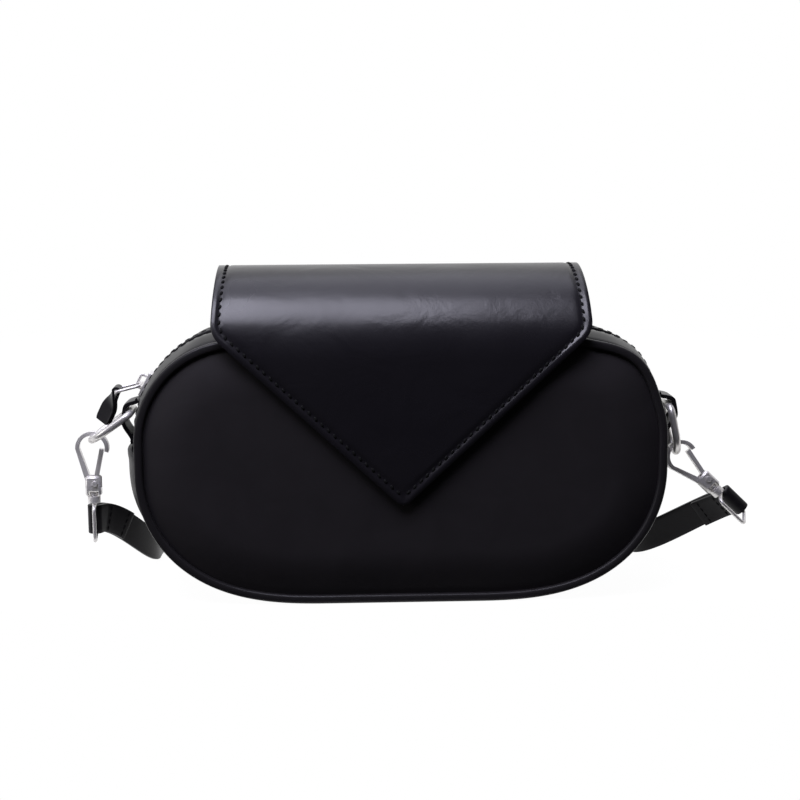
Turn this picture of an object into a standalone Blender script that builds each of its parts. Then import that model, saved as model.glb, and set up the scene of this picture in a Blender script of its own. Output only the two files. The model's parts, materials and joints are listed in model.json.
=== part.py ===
"""Oval shoulder bag with an envelope flap, a zip round its top and a clip-on strap.

Lengths are in metres, Z is up and the front faces -Y. The origin is the centre of the flat base.
The gusset pieces are cut as flat strips and wrapped round the oval outline of the bag.
"""

import bisect
import math

import bmesh
import bpy
from mathutils import Matrix, Vector

# Body of the bag
BODY_WIDTH = 0.210
BODY_HEIGHT = 0.106
GUSSET_WIDTH = 0.050
BASE_FLAT = 0.056
SHOULDER_RADIUS = 0.041
SIDE_STRAIGHT = 0.012
LOWER_CURVE_POWER_X = 2.8
LOWER_CURVE_POWER_Z = 2.0
SIDE_CROWN = 0.0022
CROWN_STARTS = 0.008
CROWN_FULL = 0.045
JOINT_BELOW_SHOULDER = 0.007
GAP = 0.0003

# Leather, board and lining
GUSSET_THICKNESS = 0.0018
PIPING_RADIUS = 0.00175
PANEL_EDGE = 0.0013
PANEL_PUFF = 0.0047
PANEL_SLOPE = 0.0110
BOARD_THICKNESS = 0.0012
BOARD_MARGIN = 0.0006
LINING_THICKNESS = 0.0008

# Zip
ZIP_OPENING = 0.012
TAPE_WIDTH = 0.0093
TAPE_THICKNESS = 0.0005
TOOTH_PITCH = 0.0032
TOOTH_WIDTH = 0.0013
TOOTH_REACH = 0.0013
TOOTH_SPINE = 0.0010
TOOTH_HEIGHT = 0.0016
STOP_LENGTH = 0.0016
SLIDER_LENGTH = 0.010
SLIDER_WIDTH = 0.0088
SLIDER_TOP = 0.0024
SLIDER_PLATE = 0.0012
SLIDER_POST = 0.0016
BAIL_HEIGHT = 0.0030
BAIL_LENGTH = 0.0064
BAIL_WIDTH = 0.0020
BAIL_STOCK = 0.0010

# Zip pull
LINK_WIRE = 0.0006
LINK_LENGTH = 0.0110
LINK_WIDTH = 0.0122
LINK_DROP = math.radians(14.0)
PULL_LENGTH = 0.0145
PULL_WIDTH = 0.0082
PULL_LAYER = 0.0009
PULL_LEAN = math.radians(26.0)
PULL_TWIST = math.radians(45.0)
PULL_TWIST_SHARE = 0.6

# Flap
FLAP_WIDTH = 0.148
FLAP_OUTER = 0.0016
FLAP_LINING = 0.0007
FLAP_BEND_DROP = 0.0075
FLAP_SEAM_DROP = 0.016
FLAP_CORNER_RISE = 0.0026
FLAP_POINT_DROP = 0.0662
FLAP_CORNER_RADIUS = 0.006
FLAP_TIP_RADIUS = 0.004
FLAP_LINING_MARGIN = 0.0012

# Hidden magnets
MAGNET_ABOVE_POINT = 0.016
MAGNET_RADIUS = 0.007
PLATE_RADIUS = 0.006
PLATE_THICKNESS = 0.0007

# Side tabs and rings
TAB_WIDTH = 0.0125
TAB_THICKNESS = 0.0015
TAB_LENGTH = 0.0170
TAB_ABOVE_RING = 0.0054
RING_ABOVE_SHOULDER = 0.0080
RING_WIRE = 0.0015
RING_INSIDE_WIDTH = 0.016
RING_REACH = 0.020
RING_CORNER = 0.0030

# Snap hooks
HOOK_STRIP = 0.0016
HOOK_ROOT = 0.0024
HOOK_DEPTH = 0.0030
HOOK_LOOP_RADIUS = 0.0060
HOOK_LOOP_HEIGHT = 0.0228
HOOK_TIP_ANGLE = math.radians(-16.0)
BLOCK_WIDTH = 0.0064
BLOCK_DEPTH = 0.0046
BLOCK_BASE = 0.0052
BLOCK_TOP = 0.0112
COLLAR_RADIUS = 0.0026
COLLAR_HEIGHT = 0.0028
WINDOW_WIDTH = 0.0042
GATE_WIDTH = 0.0018
GATE_DEPTH = 0.0022
GATE_BOSS = 0.0017
GATE_OVERLAP = 0.0012
PIN_RADIUS = 0.0007
PIN_HEIGHT = 0.0082
PIN_HEAD = 0.0012
PIN_HEAD_THICKNESS = 0.0005

# Swivel eyes
POST_RADIUS = 0.0010
POST_HEAD_RADIUS = 0.0017
POST_HEAD = 0.0014
EYE_WIRE = 0.00075
EYE_WIDTH = 0.0118
EYE_CORNER = 0.0020

# Strap
STRAP_WIDTH = 0.012
STRAP_THICKNESS = 0.0018
STRAP_RETURN = 0.020
STRAP_LOOP_WIDTH = 0.208
STRAP_LOOP_START = 0.046
STRAP_LOOP_DEPTH = 0.105

OUTLINE_CELLS = 80
OVERRUN = 0.002
FINE = 48

SHOULDER_HEIGHT = BODY_HEIGHT - SHOULDER_RADIUS
WIDEST_HEIGHT = SHOULDER_HEIGHT - SIDE_STRAIGHT
FLAP_BEND_HEIGHT = BODY_HEIGHT - FLAP_BEND_DROP
FLAP_SEAM_HEIGHT = BODY_HEIGHT - FLAP_SEAM_DROP
FLAP_CORNER_HEIGHT = BODY_HEIGHT + FLAP_CORNER_RISE
FLAP_POINT_HEIGHT = BODY_HEIGHT - FLAP_POINT_DROP
MAGNET_HEIGHT = FLAP_POINT_HEIGHT + MAGNET_ABOVE_POINT
HALF_GUSSET = GUSSET_WIDTH / 2
PANEL_BACK = HALF_GUSSET + GAP
PANEL_INSET = 2 * PIPING_RADIUS + GAP
PANEL_FRONT = PANEL_BACK + PANEL_EDGE + PANEL_PUFF
TAPE_TOP = -GUSSET_THICKNESS - GAP
TOOTH_TOP = TAPE_TOP + (TOOTH_HEIGHT - TAPE_THICKNESS) / 2
SPINE_IN = TOOTH_REACH + GAP
SPINE_OUT = SPINE_IN + TOOTH_SPINE
TAPE_IN = SPINE_OUT + GAP
FLAP_INSIDE = PANEL_FRONT + GAP
FLAP_OUTER_INSIDE = FLAP_INSIDE + FLAP_LINING + GAP
FLAP_OUTSIDE = FLAP_OUTER_INSIDE + FLAP_OUTER

COLOURS = {
    "leather": ((0.012, 0.011, 0.014), 0.36, 0.0),
    "suede": ((0.020, 0.018, 0.020), 0.80, 0.0),
    "lining": ((0.030, 0.028, 0.030), 0.90, 0.0),
    "tape": ((0.010, 0.010, 0.011), 0.85, 0.0),
    "nylon": ((0.014, 0.014, 0.015), 0.45, 0.0),
    "board": ((0.120, 0.100, 0.080), 0.85, 0.0),
    "steel": ((0.620, 0.610, 0.600), 0.22, 1.0),
    "magnet": ((0.300, 0.300, 0.310), 0.35, 1.0),
}


def clear_scene():
    for old in list(bpy.data.objects):
        bpy.data.objects.remove(old, do_unlink=True)


def new_collection(name):
    made = bpy.data.collections.new(name)
    bpy.context.scene.collection.children.link(made)
    return made


def new_material(name):
    colour, roughness, metallic = COLOURS[name]
    made = bpy.data.materials.new(name)
    made.use_nodes = True
    shader = made.node_tree.nodes["Principled BSDF"]
    shader.inputs["Base Color"].default_value = (*colour, 1.0)
    shader.inputs["Roughness"].default_value = roughness
    shader.inputs["Metallic"].default_value = metallic
    return made


clear_scene()
BAG = new_collection("oval_shoulder_bag")
CUTTERS = new_collection("cutters")
MATERIALS = {name: new_material(name) for name in COLOURS}


def smooth_step(value):
    share = min(max(value, 0.0), 1.0)
    return share * share * (3 - 2 * share)


def add_object(name, mesh, material, matrix=None, parent=None):
    made = bpy.data.objects.new(name, mesh)
    BAG.objects.link(made)
    made.data.materials.append(MATERIALS[material])
    if parent:
        made.parent = parent
    made.matrix_local = matrix or Matrix()
    return made


def add_empty(name, matrix, parent=None):
    made = bpy.data.objects.new(name, None)
    BAG.objects.link(made)
    made.empty_display_size = 0.01
    if parent:
        made.parent = parent
    made.matrix_local = matrix
    return made


def add_cutter(name, mesh, matrix=None, parent=None):
    made = bpy.data.objects.new(name, mesh)
    CUTTERS.objects.link(made)
    made.hide_render = True
    made.display_type = "WIRE"
    if parent:
        made.parent = parent
    made.matrix_local = matrix or Matrix()
    return made


def boolean(target, other, operation):
    made = target.modifiers.new(f"{operation.lower()} {other.name}", "BOOLEAN")
    made.operation = operation
    made.solver = "EXACT"
    made.object = other


def thicken(target, thickness, offset):
    made = target.modifiers.new("wall", "SOLIDIFY")
    made.thickness = thickness
    made.offset = offset
    made.use_even_offset = True


def soften(target, width, segments=1, angle=math.radians(40)):
    made = target.modifiers.new("edges", "BEVEL")
    made.width = width
    made.segments = segments
    made.limit_method = "ANGLE"
    made.angle_limit = angle


def to_mesh(bm, name, smooth=True):
    mesh = bpy.data.meshes.new(name)
    bm.to_mesh(mesh)
    bm.free()
    if smooth:
        mesh.shade_smooth()
        mesh.set_sharp_from_angle(angle=math.radians(35))
    return mesh


def box_mesh(name, size, centre=(0.0, 0.0, 0.0)):
    bm = bmesh.new()
    bmesh.ops.create_cube(bm, size=1.0)
    bmesh.ops.scale(bm, vec=size, verts=bm.verts)
    bmesh.ops.translate(bm, vec=centre, verts=bm.verts)
    return to_mesh(bm, name, smooth=False)


def rod_mesh(name, radius, start, end, sides=20):
    """A round bar between two points."""
    start, end = Vector(start), Vector(end)
    along = end - start
    bm = bmesh.new()
    bmesh.ops.create_cone(
        bm, cap_ends=True, segments=sides, radius1=radius, radius2=radius, depth=along.length
    )
    turn = Vector((0, 0, 1)).rotation_difference(along).to_matrix().to_4x4()
    bmesh.ops.transform(bm, matrix=Matrix.Translation((start + end) / 2) @ turn, verts=bm.verts)
    return to_mesh(bm, name)


def wire_mesh(name, points, radius, resolution, closed):
    """A bent wire as a mesh, from a curve with a round section."""
    curve = bpy.data.curves.new(name, "CURVE")
    curve.dimensions = "3D"
    curve.bevel_depth = radius
    curve.bevel_resolution = resolution
    curve.use_fill_caps = not closed
    spline = curve.splines.new("POLY")
    spline.points.add(len(points) - 1)
    for knot, point in zip(spline.points, points, strict=True):
        knot.co = (*point, 1.0)
    spline.use_cyclic_u = closed
    helper = bpy.data.objects.new(name, curve)
    CUTTERS.objects.link(helper)
    graph = bpy.context.evaluated_depsgraph_get()
    mesh = bpy.data.meshes.new_from_object(helper.evaluated_get(graph))
    bm = bmesh.new()
    bm.from_mesh(mesh)
    bmesh.ops.remove_doubles(bm, verts=bm.verts, dist=radius / 100)
    bpy.data.objects.remove(helper)
    return to_mesh(bm, name)


def plate_mesh(name, outline, depth):
    """A flat outline in the XZ plane, given its depth along Y about Y = 0."""
    bm = bmesh.new()
    corners = [bm.verts.new((x, -depth / 2, z)) for x, z in outline]
    face = bm.faces.new(corners)
    made = bmesh.ops.extrude_face_region(bm, geom=[face])
    lifted = [item for item in made["geom"] if isinstance(item, bmesh.types.BMVert)]
    bmesh.ops.translate(bm, vec=(0, depth, 0), verts=lifted)
    bmesh.ops.recalc_face_normals(bm, faces=bm.faces)
    return to_mesh(bm, name)


def arc(centre, radius, start, end, steps):
    """Points on an arc, with angles counted from +X towards +Z."""
    angles = [start + (end - start) * step / steps for step in range(steps + 1)]
    return [(centre[0] + radius * math.cos(a), centre[1] + radius * math.sin(a)) for a in angles]


def rounded_corner(before, corner, after, radius, steps):
    """The arc that rounds a corner of a flat outline."""
    corner = Vector(corner)
    back = (Vector(before) - corner).normalized()
    ahead = (Vector(after) - corner).normalized()
    half = back.angle(ahead) / 2
    centre = corner + (back + ahead).normalized() * (radius / math.sin(half))
    first = corner + back * (radius / math.tan(half)) - centre
    last = corner + ahead * (radius / math.tan(half)) - centre
    start = math.atan2(first.y, first.x)
    sweep = (math.atan2(last.y, last.x) - start + math.pi) % (2 * math.pi) - math.pi
    return arc((centre.x, centre.y), radius, start, start + sweep, steps)


def half_outline():
    """The right half of the oval, from the middle of the top round to the middle of the base."""
    half_width = BODY_WIDTH / 2
    shoulder = (half_width - SHOULDER_RADIUS, SHOULDER_HEIGHT)
    flat = BASE_FLAT / 2
    points = [(0.0, BODY_HEIGHT)]
    points += arc(shoulder, SHOULDER_RADIUS, math.pi / 2, 0.0, FINE)
    for step in range(2 * FINE + 1):
        turn = math.pi / 2 * step / (2 * FINE)
        across = max(math.cos(turn), 0.0) ** (2 / LOWER_CURVE_POWER_X)
        down = math.sin(turn) ** (2 / LOWER_CURVE_POWER_Z)
        points.append((flat + (half_width - flat) * across, WIDEST_HEIGHT * (1 - down)))
    points.append((0.0, 0.0))
    return points


HALF = half_outline()
TRAVEL = [0.0]
for here, there in zip(HALF, HALF[1:], strict=False):
    TRAVEL.append(TRAVEL[-1] + math.dist(here, there))
HALF_ROUND = TRAVEL[-1]


def on_half(distance):
    """The outline's point at a distance from the middle of the top, along the right half."""
    distance = min(max(distance, 0.0), HALF_ROUND)
    index = min(max(bisect.bisect_right(TRAVEL, distance), 1), len(TRAVEL) - 1)
    span = TRAVEL[index] - TRAVEL[index - 1]
    share = (distance - TRAVEL[index - 1]) / span if span else 0.0
    return Vector(HALF[index - 1]).lerp(Vector(HALF[index]), share)


def station(distance):
    """Point and outward normal of the oval; the distance is to the right of the top's middle."""
    if distance > HALF_ROUND:
        distance -= 2 * HALF_ROUND
    side = -1 if distance < 0 else 1
    reach = abs(distance)
    step = BODY_WIDTH / 300
    point = on_half(reach)
    tangent = on_half(reach + step) - on_half(reach - step)
    normal = Vector((-tangent.y, tangent.x)).normalized()
    return Vector((side * point.x, point.y)), Vector((side * normal.x, normal.y))


def wrap(distance, y, height):
    """Places a point of a flat strip on the bag: along the oval, across it and above it."""
    point, normal = station(distance)
    across = max(1 - (y / HALF_GUSSET) ** 2, 0.0)
    fade = smooth_step((point.y - CROWN_STARTS) / (CROWN_FULL - CROWN_STARTS))
    out = height + SIDE_CROWN * across * fade
    return Vector((point.x + normal.x * out, y, point.y + normal.y * out))


def travel_to_height(height):
    """Distance from the top's middle to where the upper half of the oval is at this height."""
    low, high = 0.0, HALF_ROUND
    for _ in range(FINE):
        middle = (low + high) / 2
        if on_half(middle).y > height:
            low = middle
        else:
            high = middle
    return low


GUSSET_JOINT = travel_to_height(SHOULDER_HEIGHT - JOINT_BELOW_SHOULDER)
RING_BAR = travel_to_height(SHOULDER_HEIGHT + RING_ABOVE_SHOULDER)
TAB_START = RING_BAR - TAB_ABOVE_RING
SLIDER_AT = -(TAB_START - 2 * GAP - SLIDER_LENGTH / 2 - SLIDER_POST / 2)
TEETH_LEFT = SLIDER_AT - SLIDER_LENGTH / 2 + SLIDER_POST + GAP
TEETH_RIGHT = GUSSET_JOINT - STOP_LENGTH - 2 * GAP


def oval(inset, y, cells=OUTLINE_CELLS):
    """The whole outline as points, drawn in by an inset."""
    points = []
    for step in range(cells):
        point, normal = station(2 * HALF_ROUND * step / cells)
        points.append(Vector((point.x - normal.x * inset, y, point.y - normal.y * inset)))
    return points


def strip_mesh(name, columns, rows, place, keep=None, closed=False):
    """A grid whose points are placed by their column and row values, as an open surface."""
    bm = bmesh.new()
    bmesh.ops.create_grid(
        bm, x_segments=len(columns) - 1, y_segments=len(rows) - 1, size=0.5
    )
    cells = {}
    for vert in bm.verts:
        column = round((vert.co.x + 0.5) * (len(columns) - 1))
        row = round((vert.co.y + 0.5) * (len(rows) - 1))
        cells[vert] = (column, row)
    if keep:
        unwanted = []
        for face in bm.faces:
            column = min(cells[vert][0] for vert in face.verts)
            row = min(cells[vert][1] for vert in face.verts)
            if not keep(column, row):
                unwanted.append(face)
        bmesh.ops.delete(bm, geom=unwanted, context="FACES")
    for vert in bm.verts:
        column, row = cells[vert]
        vert.co = place(columns[column], rows[row])
    if closed:
        bmesh.ops.remove_doubles(bm, verts=bm.verts, dist=GAP / 10)
    return to_mesh(bm, name)


def spread(start, end, cells):
    return [start + (end - start) * step / cells for step in range(cells + 1)]


def gusset_piece(name, start, end, near, far, height, thickness, cells, material):
    """A strip cut flat, wrapped round the oval with its outer face at a height above it."""
    mesh = strip_mesh(
        name,
        spread(start, end, cells[0]),
        spread(near, far, cells[1]),
        lambda distance, y: wrap(distance, y, height),
    )
    made = add_object(name, mesh, material)
    thicken(made, thickness, -1.0)
    return made


def make_gusset():
    """The base and sides are one strip; two narrower strips carry the zip over the top."""
    seam = GAP / 2
    gusset_piece(
        "gusset_lower",
        GUSSET_JOINT + seam,
        2 * HALF_ROUND - GUSSET_JOINT - seam,
        -HALF_GUSSET,
        HALF_GUSSET,
        0.0,
        GUSSET_THICKNESS,
        (48, 6),
        "leather",
    )
    for name, near, far in (
        ("gusset_top_front", -HALF_GUSSET, -ZIP_OPENING / 2),
        ("gusset_top_back", ZIP_OPENING / 2, HALF_GUSSET),
    ):
        gusset_piece(
            name,
            -GUSSET_JOINT + seam,
            GUSSET_JOINT - seam,
            near,
            far,
            0.0,
            GUSSET_THICKNESS,
            (44, 3),
            "leather",
        )


def make_piping():
    """A beaded edge covers each seam between a panel and the gusset."""
    for name, y in (("piping_front", -1), ("piping_back", 1)):
        centre = y * (PANEL_BACK + PIPING_RADIUS)
        mesh = wire_mesh(name, oval(PIPING_RADIUS, centre), PIPING_RADIUS, 1, closed=True)
        add_object(name, mesh, "leather")


PUFF_SHARES = ((0.12, 0.10), (0.20, 0.34), (0.24, 0.32), (0.26, 0.18), (0.18, 0.06))


def make_panel(name, side):
    """A padded panel, moulded so that it swells from a sunk edge to a flat middle."""
    bm = bmesh.new()
    outline = oval(PANEL_INSET, side * PANEL_BACK)
    if side > 0:
        outline.reverse()
    face = bm.faces.new([bm.verts.new(point) for point in outline])
    back = bmesh.ops.extrude_face_region(bm, geom=[face], use_keep_orig=True)
    fronts = [item for item in back["geom"] if isinstance(item, bmesh.types.BMFace)]
    lifted = [item for item in back["geom"] if isinstance(item, bmesh.types.BMVert)]
    bmesh.ops.translate(bm, vec=(0, side * PANEL_EDGE, 0), verts=lifted)
    bmesh.ops.recalc_face_normals(bm, faces=bm.faces)
    for inset_share, rise_share in PUFF_SHARES:
        bmesh.ops.inset_region(
            bm,
            faces=fronts,
            thickness=PANEL_SLOPE * inset_share,
            depth=PANEL_PUFF * rise_share,
            use_even_offset=True,
        )
    add_object(name, to_mesh(bm, name), "leather")


def make_board(name, side):
    """A stiff sheet behind each panel keeps the bag upright."""
    inset = GUSSET_THICKNESS + BOARD_MARGIN
    middle = side * (HALF_GUSSET - BOARD_THICKNESS / 2)
    outline = [(point.x, point.z) for point in oval(inset, 0.0, OUTLINE_CELLS // 2)]
    mesh = plate_mesh(name, outline, BOARD_THICKNESS)
    return add_object(name, mesh, "board", Matrix.Translation((0, middle, 0)))


def make_lining():
    """A sewn inner bag, open under the zip."""
    depth = HALF_GUSSET - BOARD_THICKNESS - GAP
    slot = TAPE_IN + TAPE_WIDTH + GAP
    height = -GUSSET_THICKNESS - 2 * GAP
    mouth_cells = 28
    columns = spread(-GUSSET_JOINT, GUSSET_JOINT, mouth_cells)
    columns += spread(GUSSET_JOINT, 2 * HALF_ROUND - GUSSET_JOINT, 32)[1:]
    bm = bmesh.new()
    sides = strip_mesh(
        "lining",
        columns,
        [-depth, -slot, slot, depth],
        lambda distance, y: wrap(distance, y, height),
        keep=lambda column, row: row != 1 or column >= mouth_cells,
        closed=True,
    )
    bm.from_mesh(sides)
    for y in (-depth, depth):
        rim = [e for e in bm.edges if e.is_boundary and abs(e.verts[0].co.y - y) < GAP]
        rim = [e for e in rim if abs(e.verts[1].co.y - y) < GAP]
        bmesh.ops.contextual_create(bm, geom=rim)
    bmesh.ops.recalc_face_normals(bm, faces=bm.faces)
    made = add_object("lining", to_mesh(bm, "lining"), "lining")
    thicken(made, LINING_THICKNESS, -1.0)


def make_zip():
    """Two tapes under the top strips, each with a comb of teeth that locks with the other."""
    for name, side in (("zip_tape_front", -1), ("zip_tape_back", 1)):
        near, far = sorted((side * TAPE_IN, side * (TAPE_IN + TAPE_WIDTH)))
        gusset_piece(
            name,
            -GUSSET_JOINT,
            GUSSET_JOINT,
            near,
            far,
            TAPE_TOP,
            TAPE_THICKNESS,
            (44, 1),
            "tape",
        )
    for name, side in (("zip_teeth_front", -1), ("zip_teeth_back", 1)):
        make_teeth(name, side)
    half = SPINE_OUT
    stop = gusset_piece(
        "zip_stop",
        TEETH_RIGHT + GAP,
        TEETH_RIGHT + GAP + STOP_LENGTH,
        -half,
        half,
        TOOTH_TOP,
        TOOTH_HEIGHT,
        (1, 2),
        "steel",
    )
    return stop


def make_teeth(name, side):
    """A comb: a spine along the tape's edge, with teeth that reach between the other comb's."""
    length = TEETH_RIGHT - TEETH_LEFT
    count = int(length / TOOTH_PITCH)
    shift = TOOTH_PITCH / 2 if side > 0 else 0.0
    columns = [TEETH_LEFT]
    for tooth in range(count):
        start = TEETH_LEFT + tooth * TOOTH_PITCH + shift + GAP
        columns += [start, start + TOOTH_WIDTH]
    columns.append(TEETH_RIGHT)
    if side < 0:
        rows = [-SPINE_OUT, -SPINE_IN, TOOTH_REACH]
        spine = 0
    else:
        rows = [-TOOTH_REACH, SPINE_IN, SPINE_OUT]
        spine = 1
    mesh = strip_mesh(
        name,
        columns,
        rows,
        lambda distance, y: wrap(distance, y, TOOTH_TOP),
        keep=lambda column, row: row == spine or column % 2 == 1,
    )
    made = add_object(name, mesh, "nylon")
    thicken(made, TOOTH_HEIGHT, -1.0)


def surface_matrix(distance):
    """A frame on the bag at the middle of the gusset: X along the oval, Z outwards."""
    normal = station(distance)[1]
    out = Vector((normal.x, 0, normal.y))
    along = Vector((0, 1, 0)).cross(out)
    turn = Matrix((along, Vector((0, 1, 0)), out)).transposed().to_4x4()
    return Matrix.Translation(wrap(distance, 0.0, 0.0)) @ turn


def make_slider():
    """The slider runs round the left shoulder; its bail carries the pull."""
    shoulder = Vector((-(BODY_WIDTH / 2 - SHOULDER_RADIUS), 0, SHOULDER_HEIGHT))
    pivot = add_empty("zip_slide_pivot", Matrix.Translation(shoulder))
    at = Matrix.Translation(-shoulder) @ surface_matrix(SLIDER_AT)
    sag = SLIDER_LENGTH**2 / (8 * SHOULDER_RADIUS)
    channel_top = TOOTH_TOP + GAP
    channel_low = TOOTH_TOP - TOOTH_HEIGHT - GAP - sag
    top = channel_top + SLIDER_TOP
    low = channel_low - SLIDER_PLATE
    body = box_mesh(
        "zip_slider", (SLIDER_LENGTH, SLIDER_WIDTH, top - low), (0, 0, (top + low) / 2)
    )
    slider = add_object("zip_slider", body, "steel", at, pivot)
    channel = box_mesh(
        "slider_channel",
        (SLIDER_LENGTH - SLIDER_POST + OVERRUN, 2 * (SPINE_OUT + GAP), channel_top - channel_low),
        ((SLIDER_POST + OVERRUN) / 2, 0, (channel_top + channel_low) / 2),
    )
    boolean(slider, add_cutter("slider_channel", channel, at, pivot), "DIFFERENCE")
    slot_top = TAPE_TOP + GAP
    slot_low = TAPE_TOP - TAPE_THICKNESS - GAP - sag
    inner = TAPE_IN - GAP
    for side in (-1, 1):
        slot = box_mesh(
            f"slider_slot_{side + 1}",
            (SLIDER_LENGTH + 2 * OVERRUN, SLIDER_WIDTH / 2 - inner + OVERRUN, slot_top - slot_low),
            (0, side * (SLIDER_WIDTH / 2 + inner + OVERRUN) / 2, (slot_top + slot_low) / 2),
        )
        boolean(slider, add_cutter(slot.name, slot, at, pivot), "DIFFERENCE")
    bail = plate_mesh("slider_bail", bail_outline(), BAIL_WIDTH)
    lift = at @ Matrix.Translation((0, 0, top))
    boolean(slider, add_cutter("slider_bail", bail, lift, pivot), "UNION")
    return pivot, lift


def bail_outline():
    """The bail in side view: an arch with its feet sunk in the slider's top plate."""
    half = BAIL_LENGTH / 2
    foot = -SLIDER_PLATE / 2
    radius = BAIL_HEIGHT / 2
    inner = radius - BAIL_STOCK
    outside = [(half, foot)]
    outside += arc((half - radius, BAIL_HEIGHT - radius), radius, 0, math.pi / 2, 5)
    outside += arc((-half + radius, BAIL_HEIGHT - radius), radius, math.pi / 2, math.pi, 5)
    outside.append((-half, foot))
    edge = half - BAIL_STOCK
    inside = [(-edge, foot)]
    inside += arc((-half + radius, BAIL_HEIGHT - radius), inner, math.pi, math.pi / 2, 4)
    inside += arc((half - radius, BAIL_HEIGHT - radius), inner, math.pi / 2, 0, 4)
    inside.append((edge, foot))
    return outside + inside


def rounded_loop(length, width, radius, steps=4):
    """A closed loop with rounded corners, drawn from 0 to -length along Z and across Y."""
    half = width / 2
    loop = []
    for y, z, start in (
        (half - radius, -radius, 0.0),
        (-half + radius, -radius, math.pi / 2),
        (-half + radius, -length + radius, math.pi),
        (half - radius, -length + radius, 3 * math.pi / 2),
    ):
        loop += arc((y, z), radius, start, start + math.pi / 2, steps)
    return [Vector((0, y, z)) for y, z in loop]


def make_pull(slider_pivot, bail):
    """A wire link through the slider's bail, with a leather tongue folded over it."""
    world = slider_pivot.matrix_world @ bail
    room = BAIL_STOCK + LINK_WIRE + GAP
    eye = world @ Vector((room - BAIL_LENGTH / 2, 0, BAIL_HEIGHT - room))
    offset = eye - slider_pivot.matrix_world.translation
    hinge = add_empty("zip_pull_pivot", Matrix.Translation(offset), slider_pivot)
    # The link lies out to the left and slightly down; its own -Z runs away from the slider.
    link_turn = Matrix.Rotation(math.pi / 2 - LINK_DROP, 4, "Y")
    run = LINK_LENGTH - 2 * LINK_WIRE
    loop = rounded_loop(run, LINK_WIDTH - 2 * LINK_WIRE, 2 * LINK_WIRE)
    wire = wire_mesh("zip_pull_link", loop, LINK_WIRE, 1, closed=True)
    add_object("zip_pull_link", wire, "steel", link_turn, hinge)
    fold = link_turn @ Vector((0, 0, -run))
    tongue_turn = Matrix.Translation(fold) @ Matrix.Rotation(PULL_LEAN, 4, "Y")
    inner = LINK_WIRE + GAP
    middle = inner + PULL_LAYER / 2
    gap = GAP / 2 + PULL_LAYER / 2
    ease = 4 * PULL_LAYER
    path = []
    for step in range(7):
        drop = PULL_LENGTH - (PULL_LENGTH - ease) * step / 6
        path.append((-gap, -drop))
    path += arc((0, 0), middle, math.pi, 0, 8)
    for step in range(7):
        drop = ease + (PULL_LENGTH - ease) * step / 6
        path.append((gap, -drop))
    half = PULL_WIDTH / 2

    def place(point, y):
        twist = PULL_TWIST * smooth_step(-point[1] / (PULL_TWIST_SHARE * PULL_LENGTH))
        return Matrix.Rotation(twist, 3, "Z") @ Vector((point[0], y, point[1]))

    mesh = strip_mesh("zip_pull_tongue", path, [-half, 0.0, half], place)
    tongue = add_object("zip_pull_tongue", mesh, "leather", tongue_turn, hinge)
    thicken(tongue, PULL_LAYER, 0.0)


FLAP_DIAGONAL_SHARES = (0.12, 0.34, 0.56, 0.78)


def flap_edge():
    """Half the flap's front edge, as (half width, height) from its corner down to the tip."""
    half = FLAP_WIDTH / 2
    top = (half, FLAP_BEND_HEIGHT + FLAP_OUTSIDE)
    corner = (half, FLAP_CORNER_HEIGHT)
    point = (0.0, FLAP_POINT_HEIGHT)
    mirrored = (-half, FLAP_CORNER_HEIGHT)
    edge = rounded_corner(top, corner, point, FLAP_CORNER_RADIUS, 4)
    diagonal_start = edge[-1]
    tip = rounded_corner(corner, point, mirrored, FLAP_TIP_RADIUS, 12)[:6]
    for share in FLAP_DIAGONAL_SHARES:
        edge.append(tuple(Vector(diagonal_start).lerp(Vector(tip[0]), share)))
    return edge + tip


def flap_rows(margin):
    """Rows across the flap from its tip to its seam, as (half width, side, height or angle).

    The front edge is drawn flat, so what lies above the bend is wrapped round it.
    """
    rows = []
    turned = 0.0
    for half_width, height in reversed(flap_edge()):
        if height < FLAP_BEND_HEIGHT:
            rows.append((half_width, "front", height))
        else:
            turned = (height - FLAP_BEND_HEIGHT) / FLAP_OUTSIDE
            rows.append((half_width, "bend", math.pi - turned))
    steps = 13
    for step in range(1, steps + 1):
        rows.append((FLAP_WIDTH / 2, "bend", (math.pi - turned) * (1 - step / steps)))
    rows.append((FLAP_WIDTH / 2, "back", FLAP_SEAM_HEIGHT + margin))
    return rows


def flap_sheet(name, radius, thickness, margin, material, parent, shift):
    rows = flap_rows(margin)
    cells = 6
    slope = math.atan2(FLAP_WIDTH / 2, FLAP_CORNER_HEIGHT - FLAP_POINT_HEIGHT)
    drop = margin / math.sin(slope)

    def place(share, row):
        half_width, part, value = row
        x = share * max(half_width - margin, half_width / 4)
        if part == "front":
            return Vector((x, -radius, value + (drop - margin) * (half_width < FLAP_TIP_RADIUS))) + shift
        if part == "bend":
            return Vector((x, radius * math.cos(value), FLAP_BEND_HEIGHT + radius * math.sin(value))) + shift
        return Vector((x, radius, value)) + shift

    mesh = strip_mesh(name, spread(-1.0, 1.0, cells), rows, place)
    made = add_object(name, mesh, material, None, parent)
    thicken(made, thickness, 1.0)
    return made


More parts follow.
